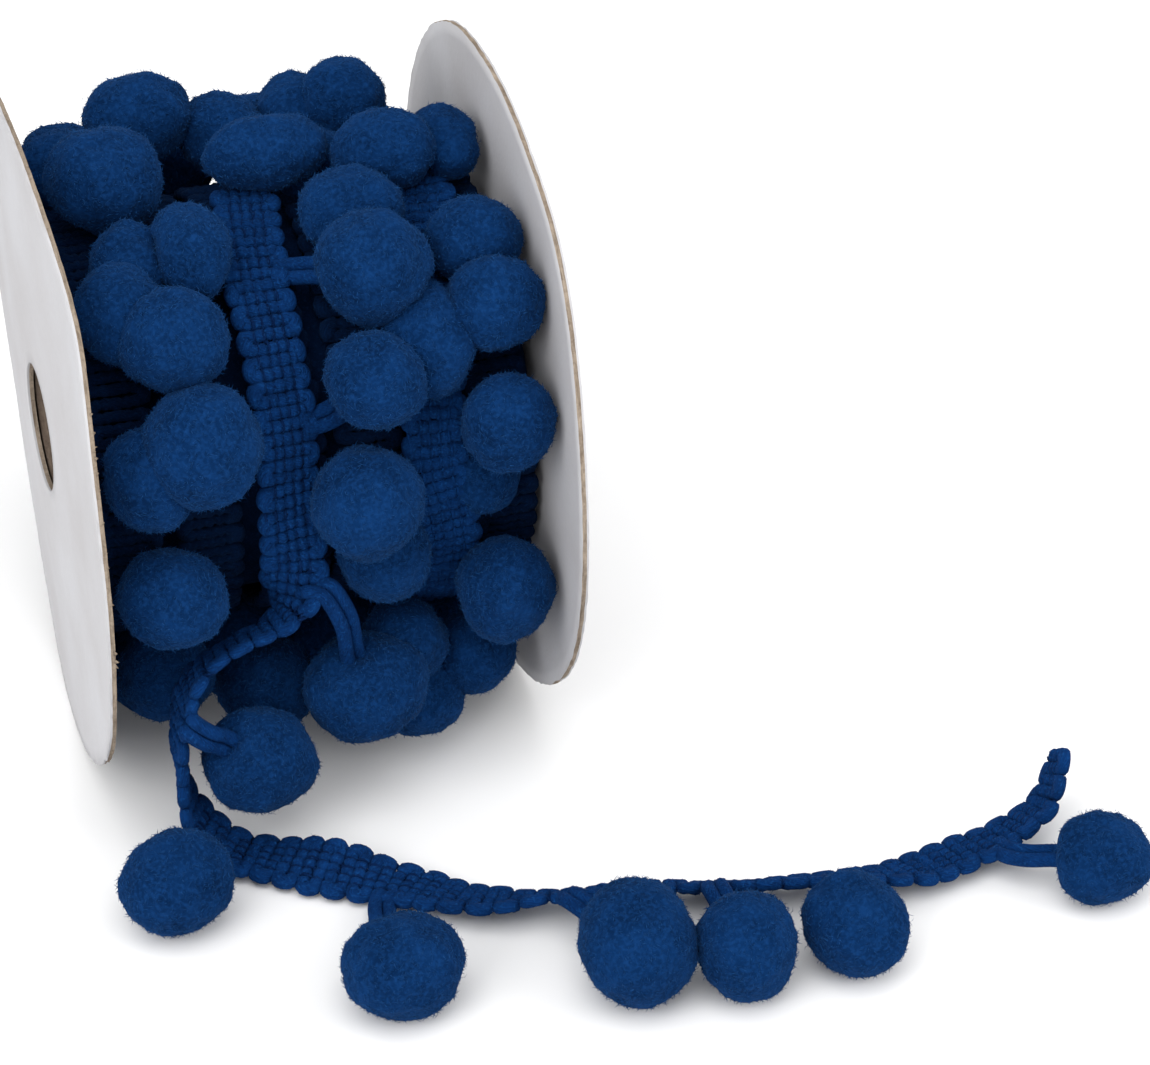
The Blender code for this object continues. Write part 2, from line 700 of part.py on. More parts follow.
def build_pompom_cutter(cutters):
    """Build the space that the loose pompoms and their clearance take."""
    draw = random.Random(POMPOM_SEED)
    bm = bmesh.new()
    for row in LOOSE_POMPOMS:
        mesh = pompom_mesh(row, "pompom_space", draw, CUT_MARGIN)
        bm.from_mesh(mesh)
        bpy.data.meshes.remove(mesh)
    cutter = add_object("pompom_space", mesh_from(bm, "pompom_space"), cutters)
    mark_as_cutter(cutter)
    return cutter


def build_loop_cutter(cutters):
    """Build the space that the loops and their clearance take."""
    stations = tape_stations(STATION_PITCH)
    bm = bmesh.new()
    for pompom in LOOSE_POMPOMS:
        mesh = loop_mesh(pompom, stations, "loop_space", 2.0 * CUT_MARGIN)
        bm.from_mesh(mesh)
        bpy.data.meshes.remove(mesh)
    cutter = add_object("loop_space", mesh_from(bm, "loop_space"), cutters)
    mark_as_cutter(cutter)
    return cutter


def build_tape_cutter(cutters):
    """Build the space that the tape and its clearance take."""
    cutter = add_object("tape_space", tape_mesh("tape_space", CUT_MARGIN), cutters)
    mark_as_cutter(cutter)
    return cutter


def stand_on_origin(parts, others):
    """Move everything so that the middle of the model's footprint is the origin."""
    bpy.context.view_layer.update()
    graph = bpy.context.evaluated_depsgraph_get()
    corners = []
    for obj in parts:
        ready = obj.evaluated_get(graph)
        corners += [ready.matrix_world @ Vector(corner) for corner in ready.bound_box]
    low = Vector([min(corner[axis] for corner in corners) for axis in range(3)])
    high = Vector([max(corner[axis] for corner in corners) for axis in range(3)])
    shift = Vector(((low.x + high.x) / 2.0, (low.y + high.y) / 2.0, low.z))
    for obj in parts + others:
        obj.location -= shift
    print("footprint middle in the reel's frame, mm:", [round(v / MM, 3) for v in shift])


def main():
    """Build the reel, the wound trim and the loose end."""
    clear_scene()
    collection = new_collection("pompom_fringe_trim")
    cutters = new_collection("cutters")
    blue = new_material("blue_yarn", BLUE, 0.95)
    card = new_material("grey_card", CARD, 0.75)
    kraft = new_material("kraft_card", KRAFT, 0.85)

    parts = build_reel(collection, cutters, card, kraft)
    parts.append(build_tape(collection, cutters, blue))
    parts += build_pompoms(collection, blue)
    trim_cutters = [build_tape_cutter(cutters), build_loop_cutter(cutters),
                    build_pompom_cutter(cutters)]
    parts.append(build_wound_body(collection, cutters, blue, trim_cutters))
    stand_on_origin(parts, list(cutters.objects))
    for obj in parts:
        obj.data.shade_smooth()


main()
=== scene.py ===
"""Looks of a pompom fringe trim wound on a card reel, with its loose end lying in front.

Lengths in the tables are millimetres in the reel's own frame: X runs along the reel from the
outer face of the left card, the reel's axis is at y = 0, and the floor is z = 0. Angles round
the reel are degrees from the front (-Y), rising towards the top.
"""

from __future__ import annotations

import logging
import math
import random
from dataclasses import dataclass, field
from enum import Enum
from typing import NamedTuple

import bpy
import numpy as np
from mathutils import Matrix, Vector


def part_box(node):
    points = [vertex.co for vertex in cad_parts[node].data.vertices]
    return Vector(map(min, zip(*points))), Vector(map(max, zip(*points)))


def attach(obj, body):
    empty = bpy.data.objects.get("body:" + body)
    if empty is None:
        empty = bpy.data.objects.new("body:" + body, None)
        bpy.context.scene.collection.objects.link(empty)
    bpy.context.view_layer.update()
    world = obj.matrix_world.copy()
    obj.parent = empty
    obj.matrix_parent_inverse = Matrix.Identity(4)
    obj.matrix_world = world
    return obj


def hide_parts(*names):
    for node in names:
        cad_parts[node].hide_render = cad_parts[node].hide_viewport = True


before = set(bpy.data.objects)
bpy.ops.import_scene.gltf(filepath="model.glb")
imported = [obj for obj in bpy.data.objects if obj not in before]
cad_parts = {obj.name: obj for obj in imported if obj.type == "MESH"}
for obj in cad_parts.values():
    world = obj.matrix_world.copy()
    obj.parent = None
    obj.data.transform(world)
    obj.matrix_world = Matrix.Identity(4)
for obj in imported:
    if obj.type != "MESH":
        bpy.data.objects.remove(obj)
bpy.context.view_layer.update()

LOG = logging.getLogger("pompom_trim")
MM = 0.001
FLOOR_GAP = 0.02  # millimetres that yarn and felt keep above the floor
FACE_ON = 0.75  # how far along X a card's face has to point to be papered
Array = np.ndarray


class TapeOnReel(NamedTuple):
    """A place of the tape's middle line on the reel."""

    x: float
    angle: float
    radius: float


class TapeLoose(NamedTuple):
    """A place of the tape's middle line off the reel, with the direction across it."""

    x: float
    y: float
    z: float
    azimuth: float
    lean: float


class WoundRow(NamedTuple):
    """A pompom of the wound turns: its place round the reel and its half sizes."""

    x: float
    angle: float
    radius: float
    across: float
    along: float


class CardWarp(NamedTuple):
    """How far the rims of the two cards have warped along X at one angle."""

    angle: float
    left: float
    right: float


class TurnPlace(NamedTuple):
    """Where a turn of tape lies along the reel at one angle."""

    angle: float
    x: float


class LooseRow(NamedTuple):
    """A pompom of the last turn or of the loose end, and where its loop leaves the tape."""

    x: float
    y: float
    z: float
    half_x: float
    half_y: float
    half_z: float
    tape_x: float
    tape_y: float
    tape_z: float

    def centre(self) -> Array:
        """Return its centre."""
        return np.array([self.x, self.y, self.z])

    def halves(self) -> Array:
        """Return its half sizes."""
        return np.array([self.half_x, self.half_y, self.half_z])

    def surface(self, heading: Array) -> float:
        """Return how far its surface lies from its centre in one direction."""
        return 1.0 / math.sqrt(float(np.sum((heading / self.halves()) ** 2)))


TAPE_RADIUS = 29.6

CARD_WARP = (
    CardWarp(-170.0, 2.4, 0.2),
    CardWarp(-153.0, 2.7, 0.2),
    CardWarp(-131.0, 2.35, 0.2),
    CardWarp(-113.0, 1.75, 0.2),
    CardWarp(-92.0, 0.75, 0.25),
    CardWarp(-70.0, 0.2, 0.3),
    CardWarp(-31.0, 0.0, 0.4),
    CardWarp(-18.0, -0.25, 0.2),
    CardWarp(0.0, -0.25, 0.0),
    CardWarp(15.0, -0.25, 0.1),
    CardWarp(28.0, -0.1, 0.45),
    CardWarp(38.0, 0.35, 0.85),
    CardWarp(48.0, 0.8, 1.05),
    CardWarp(57.0, 0.45, 1.0),
    CardWarp(65.0, 0.0, 0.6),
    CardWarp(75.0, -0.5, 0.45),
    CardWarp(85.0, -0.75, 0.25),
    CardWarp(95.0, -0.9, 0.0),
    CardWarp(120.0, -0.4, 0.0),
    CardWarp(150.0, 1.0, 0.1),
)

SHOWING_TURN = (
    TurnPlace(-180.0, 45.8),
    TurnPlace(-30.0, 45.8),
    TurnPlace(-11.0, 45.7),
    TurnPlace(9.0, 44.2),
    TurnPlace(20.0, 44.4),
    TurnPlace(36.0, 45.4),
    TurnPlace(51.0, 47.1),
    TurnPlace(62.0, 48.1),
    TurnPlace(83.0, 49.3),
    TurnPlace(110.0, 48.0),
    TurnPlace(180.0, 45.8),
)

LAST_TURN = (
    TapeOnReel(28.0, 93.0, TAPE_RADIUS),
    TapeOnReel(26.5, 75.0, TAPE_RADIUS),
    TapeOnReel(25.8, 60.0, TAPE_RADIUS),
)

LOOSE_END = (
    TapeLoose(25.9, -21.3, 63.9, 185.8, 5.5),
    TapeLoose(26.0, -26.8, 55.9, 193.7, 6.3),
    TapeLoose(25.4, -29.4, 47.0, 194.0, 1.8),
    TapeLoose(25.6, -29.9, 39.4, 178.0, 0.0),
    TapeLoose(25.3, -30.5, 35.4, 150.0, -6.0),
    TapeLoose(24.3, -31.2, 32.0, 112.0, -18.0),
    TapeLoose(21.6, -31.8, 29.8, 95.0, -26.0),
    TapeLoose(17.3, -32.2, 28.5, 92.0, -28.0),
    TapeLoose(13.0, -32.8, 26.3, 92.0, -26.0),
    TapeLoose(10.2, -33.3, 21.8, 90.0, -14.0),
    TapeLoose(9.1, -34.3, 13.6, 85.0, 0.0),
    TapeLoose(10.2, -36.4, 6.2, 70.0, 2.0),
    TapeLoose(14.1, -39.0, 2.0, 58.4, -6.0),
    TapeLoose(18.3, -41.6, 1.4, 56.0, 0.4),
    TapeLoose(24.8, -46.3, 2.3, 58.0, 18.0),
    TapeLoose(32.5, -50.8, 1.4, 54.5, -2.5),
    TapeLoose(39.1, -56.2, 2.1, 55.0, -17.6),
    TapeLoose(43.7, -58.7, 2.5, 62.3, -21.7),
    TapeLoose(50.4, -60.8, 3.4, 76.8, -38.0),
    TapeLoose(61.8, -62.4, 3.3, 78.0, -34.9),
    TapeLoose(73.6, -65.4, 3.4, 79.3, -40.7),
    TapeLoose(86.0, -67.1, 3.1, 87.7, -32.4),
    TapeLoose(92.3, -67.6, 2.5, 96.3, -24.6),
    TapeLoose(97.6, -66.5, 1.8, 102.3, -13.4),
    TapeLoose(106.7, -64.4, 2.2, 99.2, -19.3),
    TapeLoose(111.0, -63.2, 3.5, 95.6, -26.7),
    TapeLoose(114.3, -62.1, 5.3, 91.9, -31.2),
    TapeLoose(116.9, -59.1, 9.4, 84.8, -41.1),
    TapeLoose(117.0, -57.2, 11.4, 84.7, -44.3),
)

LOOSE_POMPOMS = (
    LooseRow(39.0, -20.4, 72.9, 7.0, 7.0, 7.3, 30.8, -13.6, 69.6),
    LooseRow(36.8, -29.9, 63.0, 6.1, 6.1, 6.1, 30.6, -26.4, 56.2),
    LooseRow(33.9, -31.6, 17.9, 7.9, 6.8, 6.9, 27.2, -29.8, 33.4),
    LooseRow(18.9, -36.6, 13.3, 7.1, 6.4, 6.4, 10.2, -37.4, 21.8),
    LooseRow(5.1, -48.8, 6.4, 7.3, 6.8, 6.4, 11.6, -42.2, 3.4),
    LooseRow(28.1, -71.4, 6.5, 7.5, 6.9, 6.5, 28.6, -56.0, 2.0),
    LooseRow(56.1, -76.6, 7.4, 7.0, 8.3, 7.4, 50.6, -66.2, 4.0),
    LooseRow(69.0, -79.8, 6.8, 6.2, 6.9, 6.8, 68.4, -69.6, 6.0),
    LooseRow(83.0, -79.2, 6.4, 6.6, 6.6, 6.4, 83.0, -71.6, 5.0),
    LooseRow(116.8, -75.4, 5.6, 6.3, 6.0, 5.6, 107.0, -68.2, 2.0),
)

FRONT_POMPOMS = (
    WoundRow(7.6, 121.0, 31.6, 5.3, 5.9),
    WoundRow(10.4, 92.0, 34.1, 7.3, 6.7),
    WoundRow(17.9, 120.0, 36.6, 6.7, 6.0),
    WoundRow(28.8, 121.0, 33.2, 5.4, 5.6),
    WoundRow(30.9, 93.0, 34.2, 8.0, 4.7),
    WoundRow(38.6, 124.0, 34.4, 5.4, 5.6),
    WoundRow(44.2, 119.0, 35.2, 5.7, 5.9),
    WoundRow(45.4, 87.0, 34.1, 6.8, 5.4),
    WoundRow(53.8, 93.0, 32.0, 4.2, 6.4),
    WoundRow(39.2, 74.0, 32.2, 6.8, 5.4),
    WoundRow(52.8, 60.0, 33.0, 5.9, 5.7),
    WoundRow(53.1, 45.0, 34.2, 6.0, 6.0),
    WoundRow(44.4, 39.8, 32.4, 5.9, 7.3),
    WoundRow(52.6, 20.3, 33.8, 5.6, 6.2),
    WoundRow(34.2, 8.4, 35.0, 7.0, 7.0),
    WoundRow(50.5, 2.0, 26.5, 5.0, 5.4),
    WoundRow(52.2, -23.2, 34.6, 6.2, 7.0),
    WoundRow(37.0, -13.0, 30.6, 5.8, 6.4),
    WoundRow(40.2, -43.6, 34.8, 5.5, 6.2),
    WoundRow(42.3, -55.0, 41.0, 6.0, 6.2),
    WoundRow(49.9, -52.0, 37.2, 5.8, 5.4),
    WoundRow(38.0, 102.0, 29.0, 5.2, 5.2),
    WoundRow(22.8, -51.0, 36.8, 6.2, 6.0),
    WoundRow(13.4, 47.3, 34.6, 6.9, 6.4),
    WoundRow(18.1, 68.3, 33.0, 4.8, 6.9),
    WoundRow(10.9, 69.6, 30.6, 5.0, 6.0),
    WoundRow(8.4, 56.6, 32.2, 5.4, 6.6),
    WoundRow(14.7, 25.7, 34.8, 7.4, 7.8),
    WoundRow(8.4, 19.6, 32.4, 5.9, 6.4),
    WoundRow(9.6, -8.0, 34.2, 6.9, 6.2),
    WoundRow(9.9, -46.0, 33.6, 6.2, 6.2),
)


def deselect_all() -> None:
    """Leave nothing selected."""
    if bpy.context.object and bpy.context.object.mode != "OBJECT":
        bpy.ops.object.mode_set(mode="OBJECT")
    bpy.ops.object.select_all(action="DESELECT")


def above_floor(blocks: list[Array]) -> list[Array]:
    """Return arrays of reel points held a hair above the floor."""
    return [np.maximum(block, [-np.inf, -np.inf, FLOOR_GAP]) for block in blocks]


def unit(vectors: Array) -> Array:
    """Return rows of vectors at unit length."""
    return vectors / np.maximum(np.linalg.norm(vectors, axis=-1, keepdims=True), 1e-12)


def smooth_curve(points: Array, steps: int) -> Array:
    """Return a smooth curve through points.

    Args:
        points: rows of any width that the curve passes through.
        steps: how many places each stretch between two rows gets.

    Returns:
        Rows of the same width, the last point included.
    """
    padded = np.vstack([points[:1], points, points[-1:]])
    share = (np.arange(steps) / steps)[:, None]
    square, cube = share**2, share**3
    pieces = []
    for index in range(len(points) - 1):
        before, start, end, after = padded[index:index + 4]
        pieces.append(0.5 * (2.0 * start + (end - before) * share
                             + (2.0 * before - 5.0 * start + 4.0 * end - after) * square
                             + (3.0 * start - before - 3.0 * end + after) * cube))
    return np.vstack([*pieces, points[-1:]])


@dataclass(frozen=True)
class ReelFrame:
    """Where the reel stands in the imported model, and the space between its warped cards.

    Attributes:
        left_face: X of the left card's outer face at its hub, in metres.
        axis_y: Y of the reel's axis, in metres.
        axis_z: height of the reel's axis, in metres.
        axis_height: the same height in millimetres.
        disc_radius: radius of a card.
        flat_radius: radius up to which a card is flat.
        width: from the left card's outer face to the right one's, at the hub.
        thickness: thickness of a card.
    """

    left_face: float
    axis_y: float
    axis_z: float
    axis_height: float
    disc_radius: float = 43.5
    flat_radius: float = 15.0
    width: float = 59.6
    thickness: float = 0.8

    @classmethod
    def from_cad(cls, tube_start: float = 1.1) -> ReelFrame:
        """Read the place of the reel from its packed tube.

        Args:
            tube_start: from the left card's outer face to the tube, in millimetres.

        Returns:
            The frame of the reel.
        """
        low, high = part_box("core_tube")
        axis_z = (low.z + high.z) / 2.0
        return cls(low.x - tube_start * MM, (low.y + high.y) / 2.0, axis_z, axis_z / MM)

    def lean(self, points: Array, left: bool) -> Array:
        """Return how far a card has warped along X beside some reel points.

        Args:
            points: reel points in millimetres.
            left: whether it is the left card.

        Returns:
            One number for each point.
        """
        height = points[:, 2] - self.axis_height
        radius = np.hypot(points[:, 1], height)
        angle = np.degrees(np.arctan2(height, -points[:, 1]))
        rows = [(row.angle, row.left if left else row.right) for row in CARD_WARP]
        table = np.array(rows + [(rows[0][0] + 360.0, rows[0][1])])
        fine = np.arange(-180.0, 181.0)
        blurred = sum(np.interp((fine + shift - table[0, 0]) % 360.0 + table[0, 0],
                                table[:, 0], table[:, 1]) for shift in range(-5, 6)) / 11.0
        share = (radius - self.flat_radius) / (self.disc_radius - self.flat_radius)
        return np.maximum(0.0, share) * np.interp(angle, fine, blurred)

    def between_cards(self, points: Array, gap: float = 0.2) -> Array:
        """Return reel points held between the inner faces of the cards."""
        low = self.thickness + gap + self.lean(points, True)
        high = self.width - self.thickness - gap + self.lean(points, False)
        held = points.copy()
        held[:, 0] = np.clip(points[:, 0], low, high)
        return held

    def place(self, points: Array) -> Array:
        """Return reel points in millimetres as points of the model in metres."""
        return np.asarray(points) * MM + np.array([self.left_face, self.axis_y, 0.0])

    def around(self, x: float, angle: float, radius: float) -> Array:
        """Return the reel point at an angle and a radius round the axis, in millimetres."""
        turn = math.radians(angle)
        return np.array([x, -radius * math.cos(turn), self.axis_height + radius * math.sin(turn)])


class Shader:
    """A Principled material that is put together node by node."""

    def __init__(self, name: str) -> None:
        """Start a material with its shader.

        Args:
            name: name of the material.
        """
        self.material = bpy.data.materials.new(name)
        self.material.use_nodes = True
        self.tree = self.material.node_tree
        self.bsdf = self.tree.nodes["Principled BSDF"]

    def node(self, kind: str, **values: object) -> bpy.types.Node:
        """Add a node.

        Args:
            kind: type of the node without its ShaderNode prefix.
            **values: properties, or inputs by name with _ for a blank.

        Returns:
            The new node.
        """
        made = self.tree.nodes.new(f"ShaderNode{kind}")
        for key, value in values.items():
            if hasattr(made, key):
                setattr(made, key, value)
            else:
                made.inputs[key.replace("_", " ")].default_value = value
        return made

    def link(self, source: bpy.types.NodeSocket, target: bpy.types.NodeSocket) -> None:
        """Join two sockets."""
        self.tree.links.new(source, target)

    def where(self) -> bpy.types.NodeSocket:
        """Return the place on the piece, in its own coordinates."""
        return self.node("TexCoord").outputs["Object"]

    def mapped(self, vector: bpy.types.NodeSocket, field_name: str,
               value: tuple) -> bpy.types.NodeSocket:
        """Return a vector that is turned or stretched by a Mapping node's field."""
        made = self.node("Mapping")
        made.inputs[field_name].default_value = value
        self.link(vector, made.inputs["Vector"])
        return made.outputs["Vector"]

    def paint(self, colour: bpy.types.NodeSocket) -> None:
        """Give the surface a colour."""
        self.link(colour, self.bsdf.inputs["Base Color"])

    def noise(self, vector: bpy.types.NodeSocket, scale: float, detail: float = 2.0,
              distortion: float = 0.0) -> bpy.types.NodeSocket:
        """Add a noise.

        Args:
            vector: where the noise is read.
            scale: features in one unit of the vector.
            detail: octaves.
            distortion: how far the noise is twisted.

        Returns:
            Its grey value.
        """
        made = self.node("TexNoise", Scale=scale, Detail=detail, Distortion=distortion)
        self.link(vector, made.inputs["Vector"])
        return made.outputs["Fac"]

    def ramp(self, value: bpy.types.NodeSocket, low: float, high: float,
             bottom: float = 0.0, top: float = 1.0) -> bpy.types.NodeSocket:
        """Stretch a grey value and hold it between two limits.

        Args:
            value: the grey value.
            low: value that becomes the bottom.
            high: value that becomes the top.
            bottom: lowest result.
            top: highest result.

        Returns:
            The stretched value.
        """
        made = self.node("MapRange", clamp=True)
        for name, number in (("From Min", low), ("From Max", high),
                             ("To Min", bottom), ("To Max", top)):
            made.inputs[name].default_value = number
        self.link(value, made.inputs["Value"])
        return made.outputs["Result"]

    def mix(self, share: bpy.types.NodeSocket, first: object,
            second: object) -> bpy.types.NodeSocket:
        """Mix two colours.

        Args:
            share: grey value, 0 for the first colour.
            first: a colour or a socket.
            second: a colour or a socket.

        Returns:
            The mixed colour.
        """
        made = self.node("Mix", data_type="RGBA")
        self.link(share, made.inputs[0])
        for index, colour in ((6, first), (7, second)):
            if isinstance(colour, bpy.types.NodeSocket):
                self.link(colour, made.inputs[index])
            else:
                made.inputs[index].default_value = colour
        return made.outputs[2]

    def add(self, first: bpy.types.NodeSocket, second: bpy.types.NodeSocket,
            weight: float) -> bpy.types.NodeSocket:
        """Return first + second * weight."""
        made = self.node("Math", operation="MULTIPLY_ADD")
        self.link(second, made.inputs[0])
        made.inputs[1].default_value = weight
        self.link(first, made.inputs[2])
        return made.outputs[0]

    def bump(self, height: bpy.types.NodeSocket, distance: float, strength: float) -> None:
        """Raise the surface by a grey value.

        Args:
            height: the grey value.
            distance: height of its full range, in metres.
            strength: share of it that shows.
        """
        made = self.node("Bump", Strength=strength, Distance=distance)
        self.link(height, made.inputs["Height"])
        self.link(made.outputs["Normal"], self.bsdf.inputs["Normal"])

    def surface(self, roughness: float, specular: float, sheen: float = 0.0,
                sheen_roughness: float = 0.5, sheen_tint: tuple = (1.0, 1.0, 1.0, 1.0)) -> None:
        """Set what is the same all over the surface.

        Args:
            roughness: roughness of the surface.
            specular: specular level.
            sheen: weight of the sheen.
            sheen_roughness: roughness of the sheen.
            sheen_tint: colour of the sheen.
        """
        self.bsdf.inputs["Roughness"].default_value = roughness
        self.bsdf.inputs["Specular IOR Level"].default_value = specular
        self.bsdf.inputs["Sheen Weight"].default_value = sheen
        self.bsdf.inputs["Sheen Roughness"].default_value = sheen_roughness
        self.bsdf.inputs["Sheen Tint"].default_value = sheen_tint


@dataclass(frozen=True)
class FeltFinish:
    """Felted wool of the pompoms, with a lighter nap and fine speckle; the lighter nap is partly a
    random fibre tint and partly a painted highlight of lit fibre tips.

    Attributes:
        deep: colour in the depth of the felt.
        body: colour of the felt.
        tip: colour of the speckle.
        strand: colour of the lightest fibres, partly a random fibre tint and partly a painted
            highlight of lit fibre tips.
    """

    deep: tuple = (0.0015, 0.0125, 0.049, 1.0)
    body: tuple = (0.0028, 0.0245, 0.096, 1.0)
    tip: tuple = (0.0066, 0.0440, 0.160, 1.0)
    strand: tuple = (0.0150, 0.0760, 0.235, 1.0)

    def material(self) -> bpy.types.Material:
        """Return the felt as a material."""
        shader = Shader("felt")
        where = shader.where()
        patches = shader.noise(where, 240.0, 3.0)
        speckle = shader.noise(where, 1900.0, 3.0, 0.4)
        strands = shader.noise(where, 900.0, 4.0, 2.2)
        mottled = shader.mix(shader.ramp(patches, 0.3, 0.72), self.deep, self.body)
        specked = shader.mix(shader.ramp(speckle, 0.42, 0.72, 0.0, 0.6), mottled, self.tip)
        # The nap share mixes the lighter strand colour into the fibres: partly a random fibre tint,
        # partly a painted highlight of lit fibre tips.
        nap = shader.node("Attribute", attribute_name="nap").outputs["Fac"]
        shader.paint(shader.mix(nap, specked, self.strand))
        shader.bump(shader.add(strands, speckle, 0.6), 0.0005, 0.55)
        shader.surface(1.0, 0.02, 0.09, 0.4, (0.16, 0.42, 0.95, 1.0))
        return shader.material


@dataclass(frozen=True)
class YarnFinish:
    """Soft thick yarn of the tape and of the loops, its fibres running along it.

    Attributes:
        name: name of the material.
        deep: colour between the fibres, painted shade in the grooves mixed with random darker
            patches.
        body: colour of the yarn.
        tip: colour of fibres that catch the light.
        twist: angle between the fibres and the yarn's length, in degrees.
        fibres_per_mm: how dense the fibres lie along the yarn, across it and in depth.
    """

    name: str = "yarn"
    deep: tuple = (0.0018, 0.014, 0.060, 1.0)
    body: tuple = (0.0038, 0.036, 0.150, 1.0)
    tip: tuple = (0.0095, 0.078, 0.270, 1.0)
    twist: float = 24.0
    fibres_per_mm: tuple = (1.2, 7.5, 1.0)

    def material(self) -> bpy.types.Material:
        """Return the yarn as a material that follows the yarn's own UV map."""
        shader = Shader(self.name)
        coordinates = shader.node("TexCoord")
        turn = (0.0, 0.0, math.radians(self.twist))
        turned = shader.mapped(coordinates.outputs["UV"], "Rotation", turn)
        stretched = shader.mapped(turned, "Scale", self.fibres_per_mm)
        fibres = shader.noise(stretched, 1.0, 3.0, 0.6)
        patches = shader.noise(coordinates.outputs["Object"], 420.0, 3.0)
        speckle = shader.noise(coordinates.outputs["Object"], 2600.0, 2.0)
        # Painted shade: darker in the grooves between the fibres, mixed with random patches; the
        # speckle then adds painted highlights where fibres catch the light.
        shade = shader.add(fibres, patches, 0.55)
        mottled = shader.mix(shader.ramp(shade, 0.52, 0.98), self.deep, self.body)
        lit = shader.mix(shader.ramp(speckle, 0.55, 0.78, 0.0, 0.6), mottled, self.tip)
        shader.paint(lit)
        shader.bump(shader.add(fibres, speckle, 0.5), 0.00035, 0.8)
        shader.surface(0.95, 0.03, 0.04, 0.4, (0.12, 0.35, 0.90, 1.0))
        return shader.material


@dataclass(frozen=True)
class PaperFinish:
    """Pale grey paper that faces the cards."""

    body: tuple = (0.49, 0.49, 0.51, 1.0)
    worn: tuple = (0.43, 0.42, 0.43, 1.0)

    def material(self) -> bpy.types.Material:
        """Return the paper as a material."""
        shader = Shader("card_paper")
        where = shader.where()
        cloudy = shader.noise(where, 55.0, 3.0)
        pulp = shader.noise(where, 1500.0, 3.0)
        share = shader.ramp(shader.add(cloudy, pulp, 0.25), 0.42, 0.85)
        shader.paint(shader.mix(share, self.body, self.worn))
        shader.bump(shader.add(pulp, cloudy, 1.5), 0.00012, 0.35)
        shader.surface(0.78, 0.25)
        return shader.material


@dataclass(frozen=True)
class KraftFinish:
    """Brown board: the cut edges of the cards and the wound core tube.

    Attributes:
        name: name of the material.
        light: colour of the lighter fibres.
        dark: colour of the darker fibres.
        ply_stretch: how much finer the plies are across X than along the card.
    """

    name: str
    light: tuple
    dark: tuple
    ply_stretch: tuple = (9.0, 1.0, 1.0)

    def material(self) -> bpy.types.Material:
        """Return the board as a material with plies across X."""
        shader = Shader(self.name)
        where = shader.where()
        plies = shader.noise(shader.mapped(where, "Scale", self.ply_stretch), 330.0, 3.0)
        fibres = shader.noise(where, 1400.0, 3.0, 1.0)
        share = shader.ramp(shader.add(plies, fibres, 0.6), 0.55, 1.05)
        shader.paint(shader.mix(share, self.dark, self.light))
        shader.bump(shader.add(fibres, plies, 0.8), 0.0002, 0.8)
        shader.surface(0.9, 0.15)
        return shader.material


@dataclass(frozen=True)
class FloorFinish:
    """Plain pale floor."""

    colour: tuple = (0.90, 0.90, 0.90, 1.0)
    cloud: tuple = (0.891, 0.891, 0.891, 1.0)

    def material(self) -> bpy.types.Material:
        """Return the floor as a material."""
        shader = Shader("pale_floor")
        faint = shader.ramp(shader.noise(shader.where(), 3.0), 0.0, 1.0)
        shader.paint(shader.mix(faint, self.colour, self.cloud))
        shader.surface(0.9, 0.1)
        return shader.material


